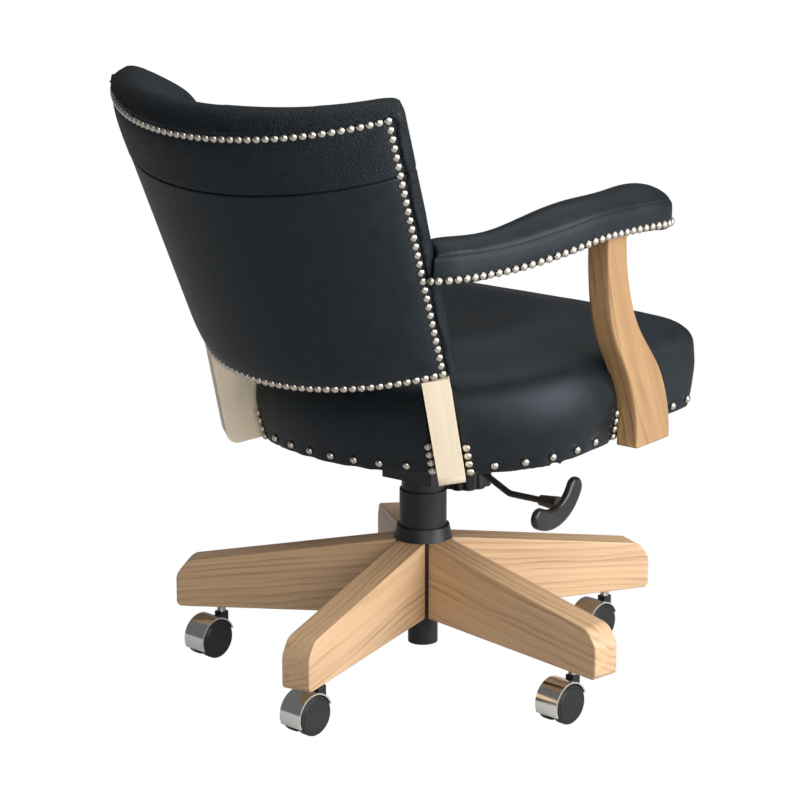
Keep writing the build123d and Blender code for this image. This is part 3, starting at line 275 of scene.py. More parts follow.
# Black ironwork: hub, column, mechanism, plate and lever rod in satin powder coat, whose fine
# orange-peel texture breaks up the highlights.
def coated(name, colour, rough, peel, depth):
    """A dark finish with dust in patches; peel is how fine its texture is, depth how high."""
    material, shader, spot = new_material(name)
    lumps = spot.noise(peel, 2.0)
    dust = spot.noise(22.0, 4.0)
    shade = dust.clamped(0.35, 0.75)
    dusty = tuple(1.7 * c + 0.004 for c in colour)
    shade.mixed(colour + (1,), dusty + (1,)).feeds(shader.inputs["Base Color"])
    (dust * 0.2 + rough - 0.1).feeds(shader.inputs["Roughness"])
    lumps.bump(depth, 0.6).feeds(shader.inputs["Normal"])
    return material


SATIN_BLACK = (0.005, 0.006, 0.007)
black_metal = coated("black_metal", SATIN_BLACK, rough=0.42, peel=900.0, depth=0.0002)
for node in ("hub", "column_tube", "mechanism_housing", "seat_plate", "lever_rod"):
    paint(node, black_metal)

# Turned steel: bolts, stems, rod, cylinder, pin and bearing, with fine lathe rings. Most of it is
# hidden inside the chair.
steel, steel_shader, steel_spot = new_material("turned_steel", Metallic=1.0)
LATHE_ROUND = 60
LATHE_ALONG = 2600
STEEL_DARK = (0.46, 0.46, 0.47, 1)
STEEL_LIGHT = (0.66, 0.66, 0.67, 1)
steel_rings = steel_spot.vector(
    steel_spot.dot((LATHE_ROUND, 0, 0)),
    steel_spot.dot((0, LATHE_ROUND, 0)),
    steel_spot.dot((0, 0, LATHE_ALONG)),
)
steel_lines = steel_rings.noise(1.0, 2.0)
steel_lines.mixed(STEEL_DARK, STEEL_LIGHT).feeds(steel_shader.inputs["Base Color"])
(steel_lines * 0.2 + 0.18).feeds(steel_shader.inputs["Roughness"])
steel_lines.bump(0.00005, 0.4).feeds(steel_shader.inputs["Normal"])
for node in (
    "arm_bolts", "caster_sockets", "caster_stems", "piston_rod", "gas_cylinder",
    "pivot_pin", "plate_bolts", "tension_bolt", "thrust_bearing",
):
    paint(node, steel)

# Moulded black plastic: column covers, knob, button and bush with a spark-eroded grain, and the
# lever's paddle with a smoother, glossy one.
black_plastic = coated("black_plastic", SATIN_BLACK, rough=0.45, peel=1500.0, depth=0.00015)
for node in ("lower_cover", "upper_cover", "release_button", "tension_knob", "column_bush"):
    paint(node, black_plastic)
GLOSSY_BLACK = (0.009, 0.009, 0.010)
paint("lever_paddle", coated("glossy_plastic", GLOSSY_BLACK, rough=0.26, peel=700.0, depth=0.0001))

# Casters: black nylon horns and wheels under a satin nickel hood, which is brushed round its
# curve, in the way the wheels roll.
NYLON_BLACK = (0.007, 0.008, 0.009)
NICKEL_DARK = (0.80, 0.79, 0.77, 1)
NICKEL_LIGHT = (0.93, 0.92, 0.90, 1)
nylon = coated("nylon", NYLON_BLACK, rough=0.36, peel=1100.0, depth=0.0001)
nickel, nickel_shader, nickel_spot = new_material("satin_nickel", Metallic=1.0)
CASTER_HEADING = math.radians(83.6)
BRUSH_ACROSS = 2200
BRUSH_ALONG = 30
axle_way = (-BRUSH_ACROSS * math.sin(CASTER_HEADING), BRUSH_ACROSS * math.cos(CASTER_HEADING), 0)
rolling_way = (BRUSH_ALONG * math.cos(CASTER_HEADING), BRUSH_ALONG * math.sin(CASTER_HEADING), 0)
upright_way = (0, 0, BRUSH_ALONG)
brush = nickel_spot.vector(*(nickel_spot.dot(way) for way in (axle_way, rolling_way, upright_way)))
brushed = brush.noise(1.0, 2.0)
brushed.mixed(NICKEL_DARK, NICKEL_LIGHT).feeds(nickel_shader.inputs["Base Color"])
(brushed * 0.08 + 0.10).feeds(nickel_shader.inputs["Roughness"])
brushed.bump(0.00002, 0.3).feeds(nickel_shader.inputs["Normal"])
for number in range(1, BASE_ARMS + 1):
    paint(f"caster_{number}_horn", nylon)
    paint(f"caster_{number}_hood", nickel)
    for side in ("left", "right"):
        paint(f"caster_{number}_wheel_{side}", nylon)


# Leather: black hide with a fine pebble, soft creases and a cool sheen. The point value "emboss"
# presses scales into it, with painted shade in the valleys between them. The point value "seam" is
# the distance from the nearest seam, drawn as a fine creased line with painted shade along it and,
# on the arm pads, with a row of stitches beside it.
PEBBLES_PER_METRE = 720.0
CREASES_PER_METRE = 55.0
SCALES_PER_METRE = 240.0
STITCH_OFFSET = 0.0032
STITCH_PITCH = 0.0046


def leather(name, colour, rough, stitched=0.0):
    material, shader, spot = new_material(
        name,
        Specular_IOR_Level=0.32,
        Specular_Tint=(0.78, 0.9, 1.0, 1),
    )
    cells = spot.node(
        "ShaderNodeTexVoronoi", {"Vector": spot, "Scale": PEBBLES_PER_METRE}, output="Distance"
    )
    creases = spot.noise(CREASES_PER_METRE, 5.0)
    pressed = spot.node("ShaderNodeAttribute", {}, output="Fac", attribute_name="emboss")
    stretched = spot.node("ShaderNodeVectorMath", {0: spot, 1: (1.0, 1.0, 1.35)}, operation="MULTIPLY")
    scales = spot.node(
        "ShaderNodeTexVoronoi",
        {"Vector": stretched, "Scale": SCALES_PER_METRE, "Randomness": 0.8},
        feature="DISTANCE_TO_EDGE",
    )
    plates = scales.clamped(0.02, 0.16)
    # Painted shade: the valleys between the pressed scales are coloured darker, and are also rougher.
    shaded_valley = (1 - plates) * pressed
    seam = spot.node("ShaderNodeAttribute", {}, output="Fac", attribute_name="seam")
    # Painted shade: the tone darkens along the seam line, which is also pressed in as a groove.
    shaded_crease = 1 - spot.math("ABSOLUTE", seam).clamped(0.0003, 0.0012)
    stitch_row = 1 - spot.math("ABSOLUTE", seam + STITCH_OFFSET).clamped(0.0003, 0.0009)
    dash = spot.math("FRACT", spot.dot((1 / STITCH_PITCH, 1 / STITCH_PITCH, 0)))
    stitches = stitch_row * spot.math("ABSOLUTE", dash - 0.5).clamped(0.12, 0.2) * stitched
    # Painted shade in the tone: darker in the valleys between scales and along the seam line.
    tone = creases.clamped(0.3, 0.75) * 0.5 + shaded_valley * -0.45 + shaded_crease * -0.4 + stitches * 0.3 + 0.3
    dark = tuple(0.55 * c for c in colour)
    light = tuple(1.5 * c for c in colour)
    tone.mixed(dark + (1,), light + (1,)).feeds(shader.inputs["Base Color"])
    (creases * 0.16 + rough - 0.08 + shaded_valley * 0.12).feeds(shader.inputs["Roughness"])
    relief = cells * 0.12 + creases * 0.3 + plates * pressed - shaded_crease * 1.4 - stitches * 0.5
    relief.bump(0.0011, 0.5).feeds(shader.inputs["Normal"])
    return material


HIDE_BLACK = (0.0056, 0.0078, 0.0100)
HIDE_ROUGH = 0.47
hide = leather("black_leather", HIDE_BLACK, HIDE_ROUGH)
stitched_hide = leather("stitched_leather", HIDE_BLACK, HIDE_ROUGH, stitched=1.0)


# Seat cushion: a thick round cushion with a crowned top, pulled over the frame and nailed along
# its lower edge and beside the wooden posts.
CLOTH_STEPS = 20
CORE_LIFT = 0.003


def plain_object(name, mesh, material):
    """A finished piece at the origin with smooth shading and one material."""
    mesh.materials.clear()
    mesh.materials.append(material)
    for polygon in mesh.polygons:
        polygon.use_smooth = True
    piece = bpy.data.objects.new(name, mesh)
    scene.collection.objects.link(piece)
    return piece


def applied(piece):
    """The piece's mesh with its modifiers worked in."""
    graph = bpy.context.evaluated_depsgraph_get()
    return bpy.data.meshes.new_from_object(piece.evaluated_get(graph))


def points_of(mesh):
    places = np.empty(3 * len(mesh.vertices))
    mesh.vertices.foreach_get("co", places)
    return places.reshape(-1, 3)


def normals_of(mesh):
    ways = np.empty(3 * len(mesh.vertices))
    mesh.vertices.foreach_get("normal", ways)
    return ways.reshape(-1, 3)


def set_points(mesh, places):
    mesh.vertices.foreach_set("co", places.reshape(-1))
    mesh.update()


def weighted(piece, label, weights):
    """Keeps a share from 0 to 1 for each point under a label."""
    group = piece.vertex_groups.new(name=label)
    for step in np.unique(np.round(weights, 2)):
        group.add([int(i) for i in np.nonzero(np.round(weights, 2) == step)[0]], float(step), "REPLACE")


def eased(values, low, high):
    """0 below low, 1 above high and smooth between them."""
    share = np.clip((values - low) / (high - low), 0, 1)
    return share * share * (3 - 2 * share)


def relaxed(piece, weights, rounds):
    """Lets the leather even out where the weights allow it."""
    weighted(piece, "slack", weights)
    even = piece.modifiers.new("relaxed", "SMOOTH")
    even.iterations = rounds
    even.vertex_group = "slack"
    mesh = applied(piece)
    piece.modifiers.clear()
    piece.vertex_groups.clear()
    piece.data = mesh


def stuffed(name, node, free, pressure, cap, settle=2, voxel=0.005, core=None):
    """A cushion from its plain solid: an even skin, rounded edges, and air pressure inside it.
    free tells from 0 to 1 how far each point may give, and cap is the furthest swelling. A core is a
    board inside it that fills its hollow from a little above its own lower face."""
    skin = nodes[node].data.copy()
    skin.transform(nodes[node].matrix_world)
    if core:
        board = nodes[core].data.copy()
        board.transform(Matrix.Translation((0, 0, CORE_LIFT)) @ nodes[core].matrix_world)
        both = bmesh.new()
        both.from_mesh(skin)
        both.from_mesh(board)
        both.to_mesh(skin)
        both.free()
    piece = plain_object(name, skin, hide)
    remesh = piece.modifiers.new("skin", "REMESH")
    remesh.mode = "VOXEL"
    remesh.voxel_size = voxel
    piece.data = applied(piece)
    piece.modifiers.clear()
    slack = free(points_of(piece.data))
    weighted(piece, "free", slack)
    weighted(piece, "held", 1 - slack)
    smooth = piece.modifiers.new("rounding", "SMOOTH")
    smooth.iterations = 1
    smooth.vertex_group = "free"
    start = points_of(applied(piece))
    cloth = piece.modifiers.new("cloth", "CLOTH")
    cloth.settings.quality = 4
    cloth.settings.mass = 0.4
    cloth.settings.tension_stiffness = 25
    cloth.settings.compression_stiffness = 12
    cloth.settings.bending_stiffness = 6.0
    cloth.settings.use_pressure = True
    cloth.settings.uniform_pressure_force = pressure
    cloth.settings.vertex_group_mass = "held"
    cloth.settings.effector_weights.gravity = 0
    cloth.collision_settings.use_collision = False
    cloth.point_cache.frame_start = 1
    cloth.point_cache.frame_end = CLOTH_STEPS
    for step in range(1, CLOTH_STEPS + 1):
        scene.frame_set(step)
        bpy.context.view_layer.update()
    mesh = applied(piece)
    piece.modifiers.clear()
    scene.frame_set(1)
    move = points_of(mesh) - start
    length = np.linalg.norm(move, axis=1)
    share = np.minimum(1.0, cap / np.maximum(length, 1e-9))
    set_points(mesh, start + move * share[:, None])
    piece.data = mesh
    settled = piece.modifiers.new("settled", "SMOOTH")
    settled.iterations = settle
    settled.vertex_group = "free"
    mesh = applied(piece)
    piece.modifiers.clear()
    piece.vertex_groups.clear()
    piece.data = mesh
    finer = piece.modifiers.new("finer", "SUBSURF")
    finer.levels = 1
    finer.render_levels = 1
    mesh = applied(piece)
    piece.modifiers.clear()
    piece.data = mesh
    for polygon in mesh.polygons:
        polygon.use_smooth = True
    return piece


FAR_FROM_SEAM = 1.0


def mark(piece, pressed, seam):
    """Sets at each point how far the hide is pressed with scales, and the distance from a seam."""
    count = len(piece.data.vertices)
    for label, amounts in (("emboss", pressed), ("seam", seam)):
        layer = piece.data.attributes.new(label, "FLOAT", "POINT")
        layer.data.foreach_set("value", np.broadcast_to(amounts, count).astype(np.float32))


def surface(piece):
    """The piece's skin, for setting nails on it."""
    bm = bmesh.new()
    bm.from_mesh(piece.data)
    tree = BVHTree.FromBMesh(bm)
    bm.free()
    return tree


def dented(piece, centres, radius, depth):
    """Presses a soft dent round every nail."""
    if not centres:
        return
    places = points_of(piece.data)
    ways = normals_of(piece.data)
    sink = np.zeros(len(places))
    for centre in centres:
        gap = np.linalg.norm(places - np.array(centre), axis=1)
        sink = np.maximum(sink, depth * np.exp(-((gap / radius) ** 2)))
    set_points(piece.data, places - ways * sink[:, None])


SEAT_Z = 0.3137
SEAT_PITCH = math.radians(3.0)
SEAT_NAIL_RISE = 0.011
SEAT_NAIL_PITCH = 0.034
DECK_MIDDLE_Y = -0.035
DECK_LEVEL = 0.024
DECK_REACH = 0.19
TACK_LEVEL = 0.006
TACK_FADE = 0.035
nails = []


def seat_level(places):
    """Height above the tilted seat frame."""
    return (places[:, 2] - SEAT_Z) * math.cos(SEAT_PITCH) + places[:, 1] * math.sin(SEAT_PITCH)


def seat_free(places):
    """The lower edge is tacked to the deck, and the rest of the leather gives."""
    reach = np.hypot(places[:, 0], places[:, 1] - DECK_MIDDLE_Y)
    level = seat_level(places)
    inner = (level < DECK_LEVEL) & (reach < DECK_REACH)
    return np.where(inner, 0.0, np.clip((level - TACK_LEVEL) / TACK_FADE, 0, 1))


seat = stuffed(
    "seat_cushion_leather",
    "seat_cushion",
    seat_free,
    pressure=0.9,
    cap=0.0022,
    settle=3,
    core="seat_deck",
)
SEAT_CENTRE = Vector((0, -0.03, 0))
CROWN_LEVELS = (0.102, 0.122)
CROWN_ROUNDS = 900
relaxed(seat, eased(seat_level(points_of(seat.data)), *CROWN_LEVELS), CROWN_ROUNDS)
SHOULDER_LEVEL = 0.106
SHOULDER_FILL = 0.007
SHOULDER_SPREAD = 0.020
FRONT_START_Y = -0.12
FRONT_RUN = 0.08
RIM_REACH = 0.2
FOOT_FILL = 0.008
FOOT_SPREAD = 0.026
CORNER_LEVEL = 0.092
CORNER_FILL = 0.006
CORNER_SPREAD = 0.016
places = points_of(seat.data)
level = seat_level(places)
shoulder = SHOULDER_FILL * np.exp(-(((level - SHOULDER_LEVEL) / SHOULDER_SPREAD) ** 2))
front = np.clip((FRONT_START_Y - places[:, 1]) / FRONT_RUN, 0, 1)
rim = np.hypot(places[:, 0], places[:, 1] - SEAT_CENTRE.y) > RIM_REACH
foot = FOOT_FILL * front * rim * np.exp(-((level / FOOT_SPREAD) ** 2))
foot += CORNER_FILL * front * rim * np.exp(-(((level - CORNER_LEVEL) / CORNER_SPREAD) ** 2))
outward = places * (1, 1, 0) - np.array(SEAT_CENTRE)
outward /= np.maximum(np.linalg.norm(outward, axis=1), 1e-6)[:, None]
set_points(seat.data, places + normals_of(seat.data) * shoulder[:, None] + outward * foot[:, None])
seat_skin = surface(seat)
OUTSIDE = 0.4
MID_SIDE = 0.05


def on_seat(angle, level):
    """Point and way out of the seat's side, seen from its middle."""
    way = Vector((math.cos(angle), math.sin(angle), 0))
    start = SEAT_CENTRE + way * OUTSIDE
    start.z = SEAT_Z + MID_SIDE
    hit, _, _, _ = seat_skin.ray_cast(start, -way)
    start.z = SEAT_Z + level - hit.y * math.tan(SEAT_PITCH)
    lower, normal, _, _ = seat_skin.ray_cast(start, -way)
    return lower, normal


# Places of the rear posts in the seat's side: each is a board standing in a plane through the
# middle of the back, so leather meets it along one straight line seen from above.
BACK_LEAN = math.radians(14.8)
BACK_Y = 0.0682
BACK_Z = 0.4811
BACK_RADIUS = 0.225
POST_ANGLE = 0.87
POST_TURN = 0.2
POST_KEEP = 0.052
POST_SIDE = 0.0225
POST_NEAR = -0.08
POST_FAR = 0.20
FRONT_POST_SPAN = (-0.158, -0.024)
CLUSTER_COUNT = 4
CLUSTER_PITCH = 0.0107
CLUSTER_FOOT = 0.006
CLUSTER_LEAN = 0.002
REAR_POST_Y = 0.17
FRONT_CLUSTER_Y = -0.0605
FRONT_POST_LEAST_X = 0.1


def post_trace(side, out, height):
    """Point on a rear post's middle plane: a distance out from the back, and a height."""
    heading = POST_ANGLE - POST_TURN
    x = BACK_RADIUS * math.sin(POST_ANGLE) + out * math.sin(heading)
    behind_axis = BACK_RADIUS * math.cos(POST_ANGLE) + out * math.cos(heading)
    up_lean = (height - BACK_Z + behind_axis * math.sin(BACK_LEAN)) / math.cos(BACK_LEAN)
    y = BACK_Y + behind_axis * math.cos(BACK_LEAN) + up_lean * math.sin(BACK_LEAN)
    return Vector((side * x, y, height))


def from_post(place, side):
    """Distance from a rear post's middle plane, seen from above, positive towards the front."""
    near = post_trace(side, POST_NEAR, place.z)
    far = post_trace(side, -POST_NEAR, place.z)
    way = (far - near).normalized()
    across = Vector((side * way.y, -side * way.x, 0))
    return (place - near).dot(across)


def near_post(place):
    rear = place.y > 0 and min(abs(from_post(place, side)) for side in (-1, 1)) < POST_KEEP
    front = abs(place.x) > FRONT_POST_LEAST_X and FRONT_POST_SPAN[0] < place.y < FRONT_POST_SPAN[1]
    return rear or front


def evenly(start, end, pitch):
    count = max(1, round(abs(end - start) / pitch))
    return [start + (end - start) * i / count for i in range(count + 1)]


seat_nails = []
SEAT_STEPS = 1440
FIRST_TURN = -0.27
runs = [[]]
for step in range(SEAT_STEPS):
    found = on_seat(FIRST_TURN + math.tau * step / SEAT_STEPS, SEAT_NAIL_RISE)
    if found[0] is None or near_post(found[0]):
        if runs[-1]:
            runs.append([])
        continue
    runs[-1].append(found)
for run in runs:
    if len(run) < 2:
        continue
    steps = [(after[0] - before[0]).length for before, after in zip(run, run[1:])]
    walked = np.concatenate(([0.0], np.cumsum(steps)))
    for distance in evenly(0.0, walked[-1], SEAT_NAIL_PITCH):
        seat_nails.append(run[int(np.argmin(np.abs(walked - distance)))])
for side in (-1, 1):
    for number in range(CLUSTER_COUNT):
        level = SEAT_Z + CLUSTER_FOOT + CLUSTER_PITCH * number
        rear_level = level - REAR_POST_Y * math.tan(SEAT_PITCH)
        front_level = level - FRONT_CLUSTER_Y * math.tan(SEAT_PITCH)
        near = post_trace(side, POST_NEAR, rear_level)
        far = post_trace(side, POST_FAR, rear_level)
        way = (far - near).normalized()
        across = Vector((way.y, -way.x, 0))
        beside = [(far + across * gap, -way) for gap in (-POST_SIDE, POST_SIDE)]
        front_y = FRONT_CLUSTER_Y - CLUSTER_LEAN * (CLUSTER_COUNT - 1 - number)
        beside.append((Vector((side * OUTSIDE, front_y, front_level)), Vector((-side, 0, 0))))
        for start, way in beside:
            hit, normal, _, _ = seat_skin.ray_cast(start, way)
            if hit is not None:
                seat_nails.append((hit, normal))
dented(seat, [spot for spot, _ in seat_nails], radius=0.010, depth=0.0018)
nails += seat_nails
mark(seat, 0.0, FAR_FROM_SEAM)
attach(seat, "seat")
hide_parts("seat_cushion")


# Back: a stretched leather panel behind with a seam and an embossed band above it, and a padded
# front that rolls over the top and the sides, all held by close rows of nails.
BACK_FLARE = 0.028
BACK_RAKE = 0.0295
BACK_HEIGHT = 0.3365
NAIL_ANGLE = 0.915
PANEL_MARGIN = 0.0085
PANEL_HEAD_MARGIN = 0.011
PANEL_FOOT_MARGIN = 0.0052
SEAM_HEIGHT = 0.2665
PANEL_PUFF = 0.0068
NAIL_PITCH = 0.0117
ROW_PITCH = 0.0105


def back_point(height, angle, outward=0.0):
    """A place on the back: height up the lean, angle round it, and distance off its rear face."""
    share = height / BACK_HEIGHT
    radius = BACK_RADIUS + BACK_FLARE * share + outward
    behind_axis = BACK_RAKE * share + radius * math.cos(angle)
    return Vector((
        radius * math.sin(angle),
        BACK_Y + behind_axis * math.cos(BACK_LEAN) + height * math.sin(BACK_LEAN),
        BACK_Z - behind_axis * math.sin(BACK_LEAN) + height * math.cos(BACK_LEAN),
    ))


def back_way(height, angle):
    """Straight out of the rear face."""
    step = 0.001
    round_it = back_point(height, angle + step) - back_point(height, angle - step)
    up_it = back_point(height + step, angle) - back_point(height - step, angle)
    return round_it.cross(up_it).normalized()


back_rows = []
for height in (0.0, BACK_HEIGHT):
    radius = BACK_RADIUS + BACK_FLARE * height / BACK_HEIGHT
    back_rows += [(height, angle) for angle in evenly(-NAIL_ANGLE, NAIL_ANGLE, ROW_PITCH / radius)]
side_heights = evenly(0.0, BACK_HEIGHT, NAIL_PITCH)[1:-1]
for angle in (-NAIL_ANGLE, NAIL_ANGLE):
    back_rows += [(height, angle) for height in side_heights]

PANEL_ACROSS = 200
PANEL_STEP = 0.0022
SEAM_STEP = 0.0006
SEAM_ROWS = 6
SEAM_REACH = 0.0035
PUFF_RUN = 0.014
EDGE_TUCK = 0.0010
BAND_LIFT = 0.0008
BAND_RUN = 0.0012
SEAM_DEPTH = 0.0024
SEAM_WIDTH = 0.0014
NAIL_DENT = 0.0011
NAIL_DENT_WIDTH = 0.0052
PANEL_THICKNESS = 0.005
panel_points = []
panel_scales = []
panel_seams = []
nail_spots = np.array([tuple(back_point(h, a)) for h, a in back_rows])
panel_heights = evenly(-PANEL_FOOT_MARGIN, BACK_HEIGHT + PANEL_HEAD_MARGIN, PANEL_STEP)
panel_heights = [h for h in panel_heights if abs(h - SEAM_HEIGHT) > SEAM_REACH]
seam_heights = [SEAM_HEIGHT + SEAM_STEP * i for i in range(-SEAM_ROWS, SEAM_ROWS + 1)]
panel_heights = sorted(panel_heights + seam_heights)
PANEL_UP = len(panel_heights) - 1
for height in panel_heights:
    radius = BACK_RADIUS + BACK_FLARE * height / BACK_HEIGHT
    reach = NAIL_ANGLE + PANEL_MARGIN / radius
    for j in range(PANEL_ACROSS + 1):
        angle = -reach + 2 * reach * j / PANEL_ACROSS
        inside = min(height, BACK_HEIGHT - height, (NAIL_ANGLE - abs(angle)) * radius)
        swell = PANEL_PUFF * (1 - math.exp(-max(inside, 0) / PUFF_RUN))
        swell -= EDGE_TUCK * max(-inside, 0) / PANEL_MARGIN
        above = height - SEAM_HEIGHT
        swell += BAND_LIFT / (1 + math.exp(-above / BAND_RUN))
        swell -= SEAM_DEPTH * math.exp(-((above / SEAM_WIDTH) ** 2))
        place = back_point(height, angle)
        near = math.sqrt(((nail_spots - np.array(place)) ** 2).sum(axis=1).min())
        swell -= NAIL_DENT * math.exp(-((near / NAIL_DENT_WIDTH) ** 2))
        panel_points.append(back_point(height, angle, swell))
        panel_scales.append(1.0 if above > 0 else 0.0)
        panel_seams.append(above)
row = PANEL_ACROSS + 1
panel_faces = [
    (i * row + j, (i + 1) * row + j, (i + 1) * row + j + 1, i * row + j + 1)
    for i in range(PANEL_UP)
    for j in range(PANEL_ACROSS)
]
panel_mesh = bpy.data.meshes.new("back_panel_leather")
panel_mesh.from_pydata([tuple(p) for p in panel_points], [], panel_faces)
panel = plain_object("back_panel_leather", panel_mesh, hide)
mark(panel, panel_scales, panel_seams)
thick = panel.modifiers.new("thickness", "SOLIDIFY")
thick.thickness = PANEL_THICKNESS
thick.offset = -1
panel_mesh = applied(panel)
panel.modifiers.clear()
panel.data = panel_mesh
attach(panel, "seat")
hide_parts("back_panel")


def back_places(places):
    """Height, angle and depth in from the rear face of points of the back."""
    y = places[:, 1] - BACK_Y
    z = places[:, 2] - BACK_Z
    height = y * math.sin(BACK_LEAN) + z * math.cos(BACK_LEAN)
    behind_axis = y * math.cos(BACK_LEAN) - z * math.sin(BACK_LEAN) - BACK_RAKE * height / BACK_HEIGHT
    radius = np.hypot(places[:, 0], behind_axis)
    angle = np.arctan2(places[:, 0], behind_axis)
    depth = BACK_RADIUS + BACK_FLARE * height / BACK_HEIGHT - radius
    return height, angle, depth


POCKET_DEPTH = 0.030
POCKET_ANGLE = 0.955
POCKET_HEAD = 0.008
FOOT_HELD = -0.004
FOOT_HELD_RUN = 0.02
CUSHION_SEAM_DEPTH = 0.0010
CUSHION_SEAM_WIDTH = 0.0030
EMBOSSED_DEPTH = 0.035
WING_FILL = 0.022
WING_ANGLES = (0.0, 0.9)
WING_DEPTHS = (0.018, 0.045)
WING_HEAD = (0.006, 0.046)
WING_FOOT = (-0.17, -0.06)
SLACK_DEPTHS = (0.024, 0.045)
SLACK_HEIGHTS = (0.0, 0.03)
SLACK_ROUNDS = 160
ROLL_HEIGHT = 0.0275
ROLL_END_DROP = 0.011


def back_free(places):
    """The leather is fixed round the pocket of the panel and along the lower edge."""
    height, angle, depth = back_places(places)
    pocket = (np.abs(angle) < POCKET_ANGLE) & (depth < POCKET_DEPTH)
    pocket &= height < BACK_HEIGHT + POCKET_HEAD
    return np.where(pocket, 0.0, np.clip((height - FOOT_HELD) / FOOT_HELD_RUN, 0, 1))


cushion = stuffed("back_cushion_leather", "back_cushion", back_free, pressure=2.0, cap=0.004)
height, angle, depth = back_places(points_of(cushion.data))
drop = BACK_HEIGHT + ROLL_HEIGHT - ROLL_END_DROP * (angle / POCKET_ANGLE) ** 2 - height
wing = WING_FILL * eased(np.abs(angle), *WING_ANGLES) * eased(depth, *WING_DEPTHS)
wing *= eased(drop, *WING_HEAD) * eased(-drop, *WING_FOOT)
rearward = np.cos(angle)
outward = np.stack((np.sin(angle), rearward * math.cos(BACK_LEAN), -rearward * math.sin(BACK_LEAN)))
set_points(cushion.data, points_of(cushion.data) - outward.T * wing[:, None])
relaxed(cushion, eased(depth, *SLACK_DEPTHS) * eased(height, *SLACK_HEIGHTS), SLACK_ROUNDS)
height, angle, depth = back_places(points_of(cushion.data))
seam = np.exp(-(((height - SEAM_HEIGHT) / CUSHION_SEAM_WIDTH) ** 2)) * CUSHION_SEAM_DEPTH
set_points(cushion.data, points_of(cushion.data) - normals_of(cushion.data) * seam[:, None])
embossed = (height > SEAM_HEIGHT) | (depth < EMBOSSED_DEPTH)
mark(cushion, embossed.astype(float), height - SEAM_HEIGHT)
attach(cushion, "seat")
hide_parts("back_cushion")
NAIL_LIFT = 0.0002
nails += [(back_point(h, a, NAIL_LIFT), back_way(h, a)) for h, a in back_rows]


# Arm pads: long padded boards that sweep up to a rounded nose, with a seam along each side and a
# close row of nails round the lower edge.
PAD_FRONT_Y = -0.130
PAD_REAR_Y = 0.250
PAD_RISE = 0.2466
PAD_SWEEP = 0.022
PAD_DIP = 0.004
PAD_SIDE = 0.033
PAD_CLIMB_START = 0.2
PAD_CLIMB_SHARE = 0.45
PAD_FALL_START = 0.75
PAD_NAIL_RISE = 0.0058
PAD_INSIDE = 0.02
PAD_TACK_LEVEL = 0.004
PAD_TACK_FADE = 0.012
PAD_SEAM_DEPTH = 0.0009
PAD_SEAM_WIDTH = 0.0030
PAD_STEPS = 900
BESIDE_PAD = 0.2


def pad_underside(y):
    """Height of a pad's lower face along its length."""
    share = np.clip((PAD_REAR_Y - y) / (PAD_REAR_Y - PAD_FRONT_Y), 0, 1)
    climb = np.clip((share - PAD_CLIMB_START) / PAD_CLIMB_SHARE, 0, 1)
    fall = np.clip((share - PAD_FALL_START) / (1 - PAD_FALL_START), 0, 1)
    return SEAT_Z + PAD_RISE + PAD_SWEEP * climb * climb * (3 - 2 * climb) - PAD_DIP * fall * fall


def pad_free(places):
    level = places[:, 2] - pad_underside(places[:, 1])
    return np.clip((level - PAD_TACK_LEVEL) / PAD_TACK_FADE, 0, 1)


for side in ("left", "right"):
    pad = stuffed(
        f"arm_pad_{side}_leather",
        f"arm_pad_{side}",
        pad_free,
        pressure=1.8,
        cap=0.002,
        settle=3,
        voxel=0.004,
    )
    places = points_of(pad.data)
    level = places[:, 2] - pad_underside(places[:, 1])
    groove = PAD_SEAM_DEPTH * np.exp(-(((level - PAD_SIDE) / PAD_SEAM_WIDTH) ** 2))
    set_points(pad.data, places - normals_of(pad.data) * groove[:, None])
    skin = surface(pad)
    low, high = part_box(f"arm_pad_{side}")
    pad_nails = []
    for flank in (-1, 1):
        previous = None
        walked = NAIL_PITCH
        for step in range(PAD_STEPS):
            y = high[1] + (low[1] - high[1]) * step / (PAD_STEPS - 1)
            start = Vector((0, y, float(pad_underside(y)) + PAD_NAIL_RISE))
            middle = 0.5 * (low[0] + high[0])
            start.x = middle + flank * BESIDE_PAD
            hit, normal, _, _ = skin.ray_cast(start, Vector((-flank, 0, 0)))
            if hit is None or (hit.x - middle) * flank < -PAD_INSIDE:
                continue
            if previous is not None:
                walked += (hit - previous).length
            previous = hit
            if walked >= NAIL_PITCH:
                walked -= NAIL_PITCH
                pad_nails.append((hit, normal))
    dented(pad, [spot for spot, _ in pad_nails], radius=0.006, depth=0.0012)
    nails += pad_nails
    mark(pad, 0.0, level - PAD_SIDE)
    pad.data.materials[0] = stitched_hide
    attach(pad, "seat")
    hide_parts(f"arm_pad_{side}")


# Wooden posts: four boards with the grain along their length and softly eased edges, pale at the
# rear and browner in front, and the hidden plywood deck and back frame.
def smooth_edges(node, width):
    """Eases the sharp edges of a solid carried over from the frame."""
    weld = nodes[node].modifiers.new("weld", "WELD")
    weld.merge_threshold = 0.00002
    bevel = nodes[node].modifiers.new("eased", "BEVEL")
    bevel.width = width
    bevel.segments = 3
    bevel.limit_method = "ANGLE"
    bevel.angle_limit = math.radians(35)
    bevel.harden_normals = True


